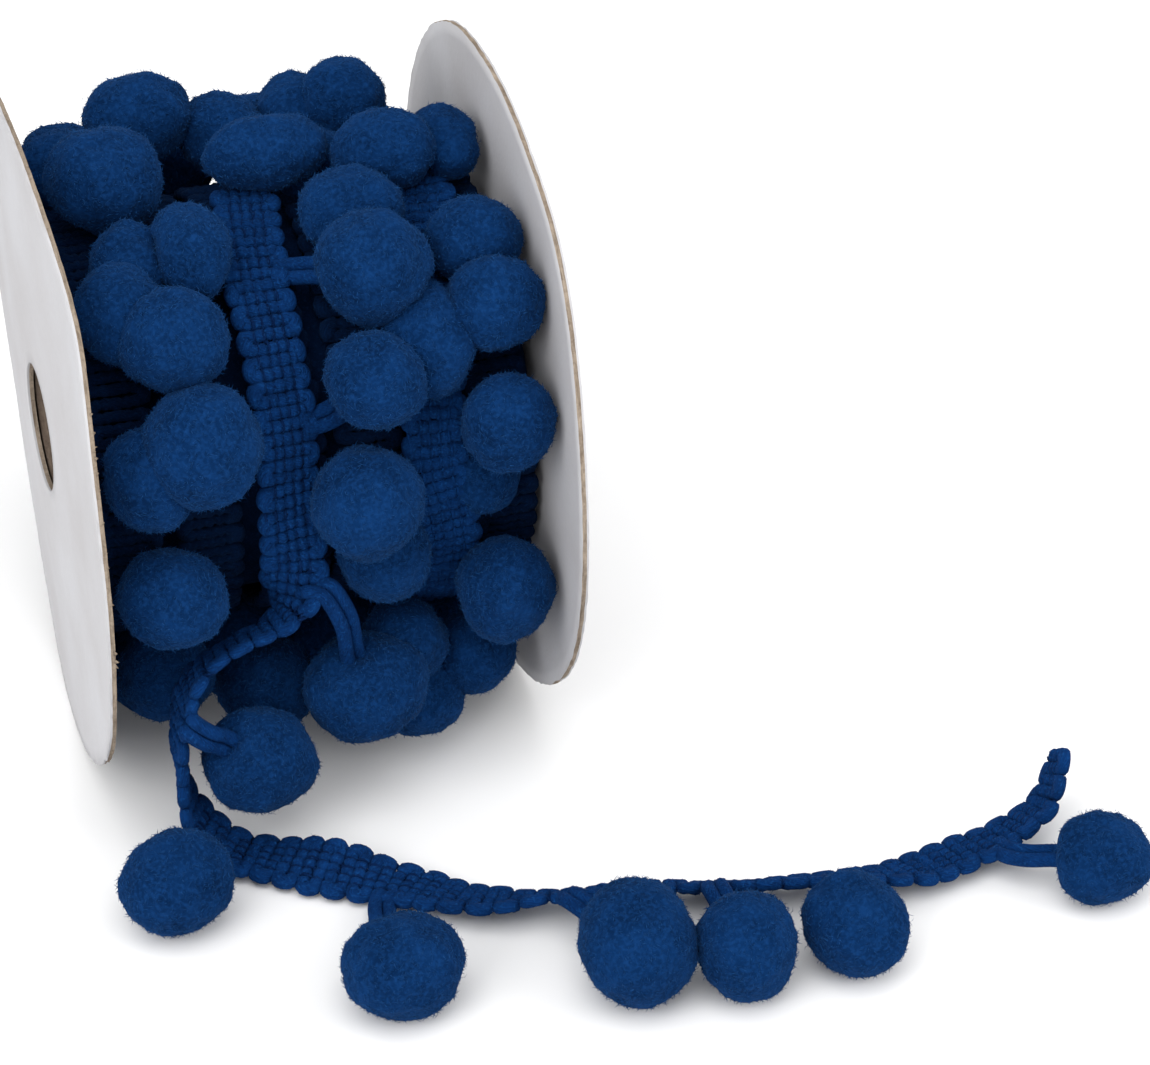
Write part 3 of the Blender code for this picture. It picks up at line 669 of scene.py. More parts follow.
@dataclass
class MeshParts:
    """Parts of one mesh that are gathered and then joined, in reel millimetres.

    Attributes:
        verts: arrays of points.
        quads: arrays of four-sided faces.
        tris: arrays of three-sided faces.
        quad_uvs: arrays of the UV places of the quads' corners, in millimetres.
        count: number of points so far.
    """

    verts: list = field(default_factory=list)
    quads: list = field(default_factory=list)
    tris: list = field(default_factory=list)
    quad_uvs: list = field(default_factory=list)
    count: int = 0

    def add(self, verts: Array, quads: Array | None = None, tris: Array | None = None,
            quad_uv: Array | None = None) -> None:
        """Add one part.

        Args:
            verts: its points.
            quads: its four-sided faces, numbered from its own first point.
            tris: its three-sided faces, numbered the same way.
            quad_uv: UV places, one for each corner of its quads.
        """
        if quads is not None:
            self.quads.append(quads + self.count)
            self.quad_uvs.append(quad_uv if quad_uv is not None else np.zeros((len(quads), 4, 2)))
        if tris is not None:
            self.tris.append(tris + self.count)
        self.verts.append(verts)
        self.count += len(verts)

    def tube(self, centres: Array, rises: Array, wide: Array, high: Array, sides: int,
             square: float = 1.0) -> None:
        """Sweep a round or oval section along a path and close both ends.

        Args:
            centres: points of the path.
            rises: direction of the section's height at each point.
            wide: half width of the section at each point.
            high: half height of the section at each point.
            sides: number of sides.
            square: 1 for an oval section, smaller for a squarer one.
        """
        along = unit(np.gradient(centres, axis=0))
        rises = unit(rises - along * np.sum(rises * along, axis=1, keepdims=True))
        across = np.cross(along, rises)
        turn = (np.arange(sides) + 0.5) * math.tau / sides
        flat = np.sign(np.cos(turn)) * np.abs(np.cos(turn)) ** square
        tall = np.sign(np.sin(turn)) * np.abs(np.sin(turn)) ** square
        rings = (centres[:, None, :]
                 + across[:, None, :] * (flat[None, :] * wide[:, None])[..., None]
                 + rises[:, None, :] * (tall[None, :] * high[:, None])[..., None])
        count = len(centres)
        first = np.arange(count - 1)[:, None] * sides + np.arange(sides)[None, :]
        second = np.arange(count - 1)[:, None] * sides + (np.arange(sides)[None, :] + 1) % sides
        quads = np.stack([first, second, second + sides, first + sides], axis=-1).reshape(-1, 4)
        steps = np.linalg.norm(np.diff(centres, axis=0), axis=1)
        length = np.concatenate([[0.0], np.cumsum(steps)])
        girth = math.tau * float(np.mean((wide + high) / 2.0))
        around = np.arange(sides + 1) / sides * girth
        low_u, high_u = length[:-1, None], length[1:, None]
        near, far = around[None, :-1], around[None, 1:]
        grid = np.ones((count - 1, sides))
        corners = [(low_u * grid, near * grid), (low_u * grid, far * grid),
                   (high_u * grid, far * grid), (high_u * grid, near * grid)]
        uv = np.stack([np.stack(pair, axis=-1) for pair in corners], axis=2).reshape(-1, 4, 2)
        ring = np.arange(sides)
        after = (ring + 1) % sides
        start_cap, end_cap = count * sides, count * sides + 1
        last = (count - 1) * sides
        caps = np.vstack([
            np.stack([np.full(sides, start_cap), after, ring], axis=-1),
            np.stack([np.full(sides, end_cap), last + ring, last + after], axis=-1)])
        points = np.vstack([rings.reshape(-1, 3), centres[:1], centres[-1:]])
        self.add(points, quads, caps, uv)

    def build(self, name: str, place: ReelFrame, material: bpy.types.Material) -> bpy.types.Object:
        """Make the mesh.

        Args:
            name: name of the piece.
            place: where the reel stands.
            material: its finish.

        Returns:
            The piece, at the origin.
        """
        verts = place.place(np.vstack(self.verts))
        quads = np.vstack(self.quads) if self.quads else np.zeros((0, 4), int)
        tris = np.vstack(self.tris) if self.tris else np.zeros((0, 3), int)
        mesh = bpy.data.meshes.new(name)
        mesh.from_pydata(verts.tolist(), [], quads.tolist() + tris.tolist())
        if len(quads):
            layer = mesh.uv_layers.new(name="along_yarn")
            flat = np.zeros((len(mesh.loops), 2), np.float32)
            flat[:len(quads) * 4] = np.vstack(self.quad_uvs).reshape(-1, 2)
            layer.data.foreach_set("uv", flat.ravel())
        mesh.polygons.foreach_set("use_smooth", np.ones(len(mesh.polygons), bool))
        mesh.materials.append(material)
        mesh.update()
        piece = bpy.data.objects.new(name, mesh)
        bpy.context.scene.collection.objects.link(piece)
        return piece


@dataclass(frozen=True)
class Nap:
    """Fibres that stand a little proud of felt or yarn.

    Attributes:
        short: number of short fibres on a square millimetre.
        stray: number of long bent fibres on a square millimetre.
        length: mean length of a short fibre.
        stray_length: mean length of a long one.
        width: width of a fibre at its root.
        lift: mean angle of a short fibre from the surface, in degrees.
        root_depth: how far a fibre starts below the surface.
    """

    short: float = 3.0
    stray: float = 0.08
    length: float = 0.62
    stray_length: float = 1.0
    width: float = 0.10
    lift: float = 26.0
    root_depth: float = 0.08

    def grow(self, parts: MeshParts, verts: Array, tris: Array, draw: np.random.Generator,
             shown: Array | None = None) -> None:
        """Grow the fibres on a closed surface.

        Args:
            parts: mesh that the fibres are added to.
            verts: points of the surface in millimetres.
            tris: its triangles.
            draw: source of random numbers.
            shown: for each triangle 1 where fibres grow and 0 where they do not.
        """
        corners = verts[tris]
        facing = np.cross(corners[:, 1] - corners[:, 0], corners[:, 2] - corners[:, 0])
        areas = np.linalg.norm(facing, axis=1) / 2.0
        if shown is not None:
            areas = areas * shown
        for density, maker in ((self.short, self.spikes), (self.stray, self.bows)):
            count = int(areas.sum() * density)
            chosen = draw.choice(len(tris), count, p=areas / areas.sum())
            first, second = draw.random((2, count, 1))
            flip = first + second > 1.0
            first, second = np.where(flip, 1.0 - first, first), np.where(flip, 1.0 - second, second)
            picked = corners[chosen]
            roots = (picked[:, 0] + (picked[:, 1] - picked[:, 0]) * first
                     + (picked[:, 2] - picked[:, 0]) * second)
            maker(parts, roots, unit(facing[chosen]), draw)

    def lay(self, normals: Array, lift: Array, draw: np.random.Generator) -> tuple[Array, Array]:
        """Choose how fibres lie.

        Args:
            normals: surface directions at the roots.
            lift: angle of each fibre from the surface, in radians.
            draw: source of random numbers.

        Returns:
            The directions of the fibres and the directions across them.
        """
        loose = draw.normal(size=normals.shape)
        along = unit(loose - normals * np.sum(loose * normals, axis=1, keepdims=True))
        heading = along * np.cos(lift)[:, None] + normals * np.sin(lift)[:, None]
        return heading, unit(np.cross(normals, along))

    def spikes(self, parts: MeshParts, roots: Array, normals: Array,
               draw: np.random.Generator) -> None:
        """Add short fibres, each a closed thin spike of four triangles."""
        count = len(roots)
        lift = np.radians(np.clip(draw.normal(self.lift, 14.0, count), 4.0, 70.0))
        heading, across = self.lay(normals, lift, draw)
        length = self.length * draw.uniform(0.55, 1.4, count)[:, None]
        half = self.width / 2.0 * draw.uniform(0.6, 1.3, count)[:, None]
        base = roots - normals * self.root_depth
        tips = roots + heading * length
        points = np.stack([base + across * half, base - across * half,
                           base + normals * (half * 1.6 + 0.05), tips], axis=1)
        own = np.array([[0, 2, 3], [2, 1, 3], [1, 0, 3], [0, 1, 2]])
        tris = own[None] + (np.arange(count) * 4)[:, None, None]
        parts.add(points.reshape(-1, 3), tris=tris.reshape(-1, 3))

    def bows(self, parts: MeshParts, roots: Array, normals: Array,
             draw: np.random.Generator) -> None:
        """Add long fibres, each bent once and closed, of six triangles."""
        count = len(roots)
        lift = np.radians(np.clip(draw.normal(34.0, 16.0, count), 5.0, 80.0))
        heading, across = self.lay(normals, lift, draw)
        reach = self.stray_length * draw.uniform(0.5, 1.5, count)[:, None] / 2.0
        half = self.width * 0.32
        middle = roots + heading * reach
        sway = unit(heading + across * draw.uniform(-0.9, 0.9, count)[:, None]
                    - normals * draw.uniform(0.2, 1.1, count)[:, None])
        points = np.stack([middle + across * half, middle - across * half,
                           middle + normals * half * 1.5, middle + sway * reach,
                           roots - normals * self.root_depth], axis=1)
        own = np.array([[0, 2, 3], [2, 1, 3], [1, 0, 3], [2, 0, 4], [1, 2, 4], [0, 1, 4]])
        tris = own[None] + (np.arange(count) * 5)[:, None, None]
        parts.add(points.reshape(-1, 3), tris=tris.reshape(-1, 3))


class Detail(Enum):
    """How finely a piece is modelled: the back of the reel needs less."""

    FINE = 5
    PLAIN = 4


@dataclass
class TapePath:
    """The middle line of a tape, read by the length along it.

    Attributes:
        points: places on the line.
        across: directions across the tape at those places.
    """

    points: Array
    across: Array
    length: float = 0.0

    def __post_init__(self) -> None:
        """Work out the length, and square the directions to the line."""
        steps = np.linalg.norm(np.diff(self.points, axis=0), axis=1)
        self.stations = np.concatenate([[0.0], np.cumsum(steps)])
        self.length = float(self.stations[-1])
        along = unit(np.gradient(self.points, self.stations, axis=0))
        square = self.across - along * np.sum(self.across * along, axis=1, keepdims=True)
        self.across = unit(square)
        self.normals = np.cross(along, self.across)

    def read(self, values: Array, along: Array) -> Array:
        """Read a table of the line's rows at lengths along it."""
        return np.stack([np.interp(along, self.stations, values[:, axis]) for axis in range(3)],
                        axis=-1)

    def place(self, along: Array, across: Array, height: Array) -> Array:
        """Return points given by length, distance across and height over the tape."""
        return (self.read(self.points, along)
                + self.read(self.across, along) * across[:, None]
                + self.read(self.normals, along) * height[:, None])

    def rise(self, along: Array) -> Array:
        """Return the directions out of the tape's face at lengths along it."""
        return unit(self.read(self.normals, along))


@dataclass
class WovenBand:
    """A band of thick yarn laid to and fro, tied down by thin warp threads.

    Attributes:
        path: its middle line.
        half_width: from the middle to the tip of a scallop.
        pass_pitch: distance between two passes of the yarn.
        columns: where the warp threads tie the yarn down.
        half_thick: half of the band's thickness.
        samples: places along one pass.
        turn_samples: places round one turn at the edge.
        sides: sides of the yarn.
        seed: seed of the small unevenness.
        turn_depth: how far the yarn's middle swings out at the edge.
        turn_swell: half width of the yarn where it turns.
        half_yarn: half width of the yarn between its turns.
        square: how square the yarn's section is, 1 for an oval.
        start: where the first pass lies, in passes.
        pinch_reach: how far from a warp thread the yarn is pinched.
        pinch_wide: share of its width that the yarn loses under a warp thread.
        pinch_high: share of its thickness that it loses there.
        end_taper: shares of its size at the last places of the yarn.
    """

    path: TapePath
    half_width: float = 4.4
    pass_pitch: float = 1.6
    columns: tuple = (-3.2, -1.92, -0.64, 0.64, 1.92, 3.2)
    half_thick: float = 0.85
    samples: int = 32
    turn_samples: int = 6
    sides: int = 10
    seed: int = 5
    turn_depth: float = 0.45
    turn_swell: float = 1.08
    half_yarn: float = 0.90
    square: float = 0.80
    start: float = 0.75
    pinch_reach: float = 0.30
    pinch_wide: float = 0.26
    pinch_high: float = 0.44
    end_taper: tuple = (0.98, 0.92, 0.78, 0.45)

    def weft(self, parts: MeshParts) -> None:
        """Lay the thick yarn to and fro across the band.

        Args:
            parts: mesh that the yarn is added to.
        """
        draw = np.random.default_rng(self.seed)
        pitch = self.pass_pitch
        count = int(self.path.length / pitch) - 1
        straight = self.half_width - self.turn_depth - self.turn_swell
        way = np.linspace(-1.0, 1.0, self.samples)
        bend = np.linspace(-90.0, 90.0, self.turn_samples + 2)[1:-1] / 180.0 * math.pi
        along, across, height, wide, high = [], [], [], [], []
        for index in range(count):
            side = 1.0 if index % 2 == 0 else -1.0
            middle = (index + self.start) * pitch + draw.uniform(-0.10, 0.10)
            reach = straight + draw.uniform(-0.14, 0.14)
            lift = draw.uniform(-0.10, 0.10)
            size = 1.0 + draw.uniform(-0.06, 0.06)
            over = way * side * reach
            pinch = np.zeros(self.samples)
            for column in self.columns:
                place = column + draw.uniform(-0.07, 0.07)
                near = (over - place) / self.pinch_reach
                pinch += draw.uniform(0.80, 1.20) * np.exp(-near ** 2)
            along += list(middle + 0.07 * np.sin(over * 1.7 + index * 2.1))
            across += list(over)
            height += list(lift + 0.06 * np.sin(over * 2.3 + index * 1.3))
            wide += list(self.half_yarn * size * (1.0 - self.pinch_wide * pinch))
            high += list(self.half_thick * size * (1.0 - self.pinch_high * pinch))
            swell = self.turn_swell * draw.uniform(0.93, 1.05)
            along += list(middle + pitch / 2.0 * (1.0 + np.sin(bend)))
            across += list(side * (reach + self.turn_depth * np.cos(bend)))
            height += [lift] * self.turn_samples
            wide += [swell] * self.turn_samples
            high += [self.half_thick * 0.92 * size] * self.turn_samples
        table = np.array([along, across, height, wide, high])[:, :-self.turn_samples]
        along, across, height, wide, high = table
        for size in (wide, high):
            size[-len(self.end_taper):] *= np.array(self.end_taper)
        centres = self.path.place(along, across, height)
        parts.tube(centres, self.path.rise(along), wide, high, self.sides, self.square)

    def warp(self, parts: MeshParts, thread_radius: float = 0.25, per_pass: int = 4) -> None:
        """Run pairs of thin threads over and under the yarn.

        Args:
            parts: mesh that the threads are added to.
            thread_radius: half thickness of a thread.
            per_pass: places along a thread for each pass of the yarn.
        """
        pitch = self.pass_pitch
        end = (int(self.path.length / pitch) - 1.20) * pitch
        along = np.arange(self.start * pitch, end, pitch / per_pass)
        for column in self.columns:
            for phase in (0.0, 1.0):
                wave = np.cos(math.pi * ((along / pitch - self.start) + phase))
                height = wave * (self.half_thick * 0.60)
                across = np.full(len(along), column + 0.14 * (2.0 * phase - 1.0))
                across = across + 0.05 * np.sin(along * 0.9 + column)
                centres = self.path.place(along, across, height)
                radius = np.full(len(along), thread_radius)
                parts.tube(centres, self.path.rise(along), radius, radius * 0.85, 4)


@dataclass
class Loops:
    """The two threads, side by side, that carry each pompom from the tape's edge.

    Attributes:
        thread_radius: half thickness of a thread.
        spacing: from the middle of the loop to the middle of a thread.
        root_depth: how far the threads start inside the tape's edge.
        tip_depth: how deep they reach into the pompom.
        bow: how far they bend outwards on their way.
        steps: places between two points of their route.
        sides: sides of a thread.
    """

    thread_radius: float = 0.93
    spacing: float = 0.88
    root_depth: float = 2.2
    tip_depth: float = 2.0
    bow: float = 0.9
    steps: int = 7
    sides: int = 9

    def run(self, parts: MeshParts, route: Array, side: Array, rise: Array) -> None:
        """Lead the thread out along a route and back beside itself.

        Args:
            parts: mesh that the thread is added to.
            route: points from the tape to inside the pompom.
            side: direction from one strand to the other.
            rise: direction out of the flat of the loop.
        """
        curve = smooth_curve(route, self.steps)
        there = curve + side * self.spacing
        back = curve[::-1] - side * self.spacing
        turn = curve[-1] + unit(curve[-1] - curve[-2]) * self.spacing
        centres = np.vstack([there, turn[None], back])
        radius = np.full(len(centres), self.thread_radius)
        rises = np.repeat(np.asarray(rise)[None], len(centres), axis=0)
        parts.tube(centres, rises, radius, radius, self.sides)

    def from_tape(self, parts: MeshParts, tape: TapePath, half_width: float,
                  row: LooseRow) -> Array:
        """Build the loop of one loose pompom.

        Args:
            parts: mesh that the thread is added to.
            tape: middle line of the tape.
            half_width: half width of the tape.
            row: the pompom.

        Returns:
            The direction from the pompom's centre to where the loop enters it.
        """
        target = np.array([row.tape_x, row.tape_y, row.tape_z])
        edges = tape.points - tape.across * half_width
        nearest = int(np.argmin(np.linalg.norm(edges - target, axis=1)))
        point, across, normal = tape.points[nearest], tape.across[nearest], tape.normals[nearest]
        along = np.cross(across, normal)
        root = point - across * (half_width - self.root_depth)
        edge = point - across * (half_width + 0.3)
        centre = row.centre()
        back = unit(edge - centre)
        surface = row.surface(back)
        tip = centre + back * (surface - self.tip_depth)
        mouth = centre + back * (surface + 0.2)
        outward = -across - back * float(np.dot(-across, back))
        middle = (edge + mouth) / 2.0 + outward * self.bow
        side = unit(along - back * float(np.dot(along, back)))
        rise = unit(np.cross(back, side))
        self.run(parts, np.array([root, edge, middle, mouth, tip]), side, rise)
        return back


@dataclass
class Pompoms:
    """Felted balls with soft lumps, a dent where the loop enters, and a nap.

    Attributes:
        place: where the reel stands.
        finish: the felt.
        lumps: sizes of the lumps and how high they are, both in millimetres.
        dent_width: reach of the dent where a loop enters.
        dent_depth: depth of that dent.
        nap: fibres of the pompoms in front.
        back_nap: coarser fibres of those at the back.
        nap_radius: distance from the axis beyond which wound pompoms show their nap.
    """

    place: ReelFrame
    finish: bpy.types.Material
    lumps: tuple = ((8.0, 1.7), (3.2, 0.60), (1.3, 0.34))
    dent_width: float = 2.6
    dent_depth: float = 1.5
    nap: Nap = Nap()
    back_nap: Nap = Nap(short=1.2, stray=0.05, length=0.75, width=0.13)
    nap_radius: float = 29.5

    def ball(self, centre: Array, halves: Array, tilt: float, detail: Detail) -> bpy.types.Object:
        """Add one oval ball.

        Args:
            centre: its centre in reel millimetres.
            halves: its half sizes in millimetres.
            tilt: its turn round X in radians.
            detail: how finely it is divided.

        Returns:
            The ball with its place in its mesh.
        """
        deselect_all()
        bpy.ops.mesh.primitive_ico_sphere_add(subdivisions=detail.value, radius=1.0,
                                              location=self.place.place(centre))
        made = bpy.context.object
        made.scale = [float(half) * MM for half in halves]
        made.rotation_euler = (tilt, 0.0, 0.0)
        bpy.ops.object.transform_apply(location=True, rotation=True, scale=True)
        return made

    def knead(self, ball: bpy.types.Object) -> None:
        """Give the balls soft lumps from clouds of several sizes, then apply them."""
        deselect_all()
        ball.select_set(True)
        bpy.context.view_layer.objects.active = ball
        for size, height in self.lumps:
            clouds = bpy.data.textures.new(f"lumps_{size}", "CLOUDS")
            clouds.noise_scale = size * MM
            lumpy = ball.modifiers.new(clouds.name, "DISPLACE")
            lumpy.texture = clouds
            lumpy.texture_coords = "GLOBAL"
            lumpy.strength = height * MM
            lumpy.mid_level = 0.5
            bpy.ops.object.modifier_apply(modifier=lumpy.name)

    def join(self, balls: list[bpy.types.Object]) -> bpy.types.Object:
        """Join balls into one object."""
        deselect_all()
        for ball in balls:
            ball.select_set(True)
        bpy.context.view_layer.objects.active = balls[0]
        if len(balls) > 1:
            bpy.ops.object.join()
        return bpy.context.view_layer.objects.active

    def finish_group(self, name: str, balls: list[bpy.types.Object],
                     dents: list[tuple[Array, Array]], nap: Nap, seed: int,
                     wound: bool) -> bpy.types.Object:
        """Knead, dent and fluff up balls, and join them as one piece.

        Args:
            name: name of the piece.
            balls: the balls.
            dents: for each dent its place and the direction inwards, in reel millimetres.
            nap: the fibres to grow.
            seed: seed of the fibres.
            wound: whether the balls lie between the cards.

        Returns:
            The finished piece.
        """
        made = self.join(balls)
        self.knead(made)
        mesh = made.data
        verts = np.empty(len(mesh.vertices) * 3)
        mesh.vertices.foreach_get("co", verts)
        shift = self.place.place(np.zeros(3))
        verts = (verts.reshape(-1, 3) - shift) / MM
        tris = np.empty(len(mesh.polygons) * 3, np.int64)
        mesh.loops.foreach_get("vertex_index", tris)
        tris = tris.reshape(-1, 3)
        for spot, inwards in dents:
            near = np.linalg.norm(verts - spot, axis=1)
            verts += inwards * (self.dent_depth * np.exp(-(near / self.dent_width) ** 2))[:, None]
        bpy.data.objects.remove(made, do_unlink=True)
        shown = None
        if wound:
            verts = self.place.between_cards(verts)
            middles = verts[tris].mean(axis=1)
            radius = np.hypot(middles[:, 1], middles[:, 2] - self.place.axis_height)
            shown = (radius > self.nap_radius).astype(float)
        parts = MeshParts()
        parts.add(verts, tris=tris)
        body = parts.count
        nap.grow(parts, verts, tris, np.random.default_rng(seed), shown)
        parts.verts = above_floor(parts.verts)
        if wound:
            parts.verts = [self.place.between_cards(block) for block in parts.verts]
        piece = parts.build(name, self.place, self.finish)
        # Fibre points get a random share of the lighter strand colour: partly a random fibre tint,
        # partly a painted highlight of lit fibre tips.
        fibre = np.zeros(len(piece.data.vertices), np.float32)
        fibre[body:] = np.random.default_rng(seed + 7).uniform(0.0, 1.0, len(fibre) - body)
        layer = piece.data.attributes.new("nap", "FLOAT", "POINT")
        layer.data.foreach_set("value", fibre)
        return piece

    def loose(self, index: int, row: LooseRow, entry: Array) -> bpy.types.Object:
        """Make one pompom of the last turn or of the loose end.

        Args:
            index: its number.
            row: its place and size.
            entry: direction from its centre to where its loop enters.

        Returns:
            The pompom.
        """
        centre = row.centre()
        ball = self.ball(centre, row.halves(), 0.0, Detail.FINE)
        dent = (centre + entry * row.surface(entry), -entry)
        name = f"pompom_felt_{index:02d}"
        return self.finish_group(name, [ball], [dent], self.nap, 100 + index, False)

    def wound(self, name: str, rows: list[WoundRow], detail: Detail, seed: int) -> bpy.types.Object:
        """Make pompoms of the wound turns as one piece.

        Args:
            name: name of the piece.
            rows: their places and sizes.
            detail: how finely they are modelled.
            seed: seed of their fibres.

        Returns:
            The piece.
        """
        balls = []
        for row in rows:
            centre = self.place.around(row.x, row.angle, row.radius)
            depth = min(row.across, row.along)
            halves = np.array([row.across, depth, row.along])
            balls.append(self.ball(centre, halves, math.radians(-row.angle), detail))
        nap = self.nap if detail is Detail.FINE else self.back_nap
        return self.finish_group(name, balls, [], nap, seed, True)


@dataclass
class WoundTrim:
    """The turns of trim that fill the reel: woven tape below, pompoms above.

    Attributes:
        place: where the reel stands.
        yarn: finish of the tape.
        painted_shade: the yarn darkened as painted shade, for the tape where it lies deep in the
            reel.
        inner_radius: radius of the hidden turns under the top ones.
        turn_radius: radius of the middle of the top turns.
        showing_radius: the same for the turn that shows in front.
        turn_centres: where the top turns lie along the reel.
        wander: how far a turn strays to both sides.
        showing: number of the turn that shows in front, laid by its own table.
        start_angle: angle at which the turns start.
        low_x: left end of the hidden turns.
        high_x: their right end.
        hidden_hole: radius of the hole in the hidden turns.
        back_rows: angles of the rows of pompoms at the back.
        back_columns: places of their pompoms along the reel.
        back_radius: distance of their centres from the axis.
        back_half_size: half of their mean size.
        back_shift: how far every other row is shifted along the reel.
        seed: seed of the pompoms at the back.
    """

    place: ReelFrame
    yarn: bpy.types.Material
    painted_shade: bpy.types.Material
    inner_radius: float = 24.0
    turn_radius: float = 26.4
    showing_radius: float = 29.2
    turn_centres: tuple = (6.2, 16.6, 26.6, 36.4, 45.8, 53.4)
    wander: float = 0.7
    showing: int = 4
    start_angle: float = 200.0
    low_x: float = 2.2
    high_x: float = 58.0
    hidden_hole: float = 11.0
    back_rows: tuple = (146.0, 170.0, 193.0, 216.0, 239.0, 262.0, 285.0)
    back_columns: tuple = (11.2, 23.6, 36.2, 48.8)
    back_radius: float = 34.2
    back_half_size: float = 6.5
    back_shift: float = 1.4
    seed: int = 41

    def back_pompoms(self) -> list[WoundRow]:
        """Return the pompoms of the back, in rows round the reel."""
        draw = random.Random(self.seed)
        rows = []
        for number, angle in enumerate(self.back_rows):
            side = self.back_shift if number % 2 else -self.back_shift
            for x in self.back_columns:
                place = x + side + draw.uniform(-0.9, 0.9)
                around = angle + draw.uniform(-3.5, 3.5)
                size = self.back_half_size + draw.uniform(-0.4, 0.4)
                rows.append(WoundRow(place, around, self.back_radius, size, size))
        return rows

    def turns(self, name: str, showing: bool) -> bpy.types.Object:
        """Weave top turns of tape round the reel, as one piece.

        Args:
            name: name of the piece.
            showing: whether it is the turn that shows in front, or all the others.

        Returns:
            The piece.
        """
        parts = MeshParts()
        angles = np.arange(0.0, 362.0, 2.0)
        for number, centre in enumerate(self.turn_centres):
            if (number == self.showing) is not showing:
                continue
            middles = centre + self.wander * np.sin(np.radians(angles) + number * 1.9)
            radius = self.turn_radius - 0.35 * (number % 2)
            if number == self.showing:
                spots = (self.start_angle - angles + 180.0) % 360.0 - 180.0
                table = np.array(SHOWING_TURN)
                middles = np.interp(spots, table[:, 0], table[:, 1])
                radius = self.showing_radius
            points = np.array([self.place.around(x, self.start_angle - angle, radius)
                               for angle, x in zip(angles, middles)])
            points = self.place.between_cards(points, WovenBand.half_width + 0.3)
            across = np.tile([-1.0, 0.0, 0.0], (len(points), 1))
            band = WovenBand(TapePath(points, across), samples=21 if showing else 12,
                             turn_samples=4, sides=6, seed=20 + number)
            band.weft(parts)
            if showing:
                band.warp(parts)
        # All turns but the showing one take the yarn darkened as painted shade.
        return parts.build(name, self.place, self.yarn if showing else self.painted_shade)

    def inner(self, reel: "CardReel") -> bpy.types.Object:
        """Build the hidden turns under the top ones as one ring."""
        # The hidden turns take the yarn darkened as painted shade.
        return reel.ring("inner_winding", self.low_x, self.high_x, self.hidden_hole,
                         self.inner_radius, (6, 1), 90, self.painted_shade)


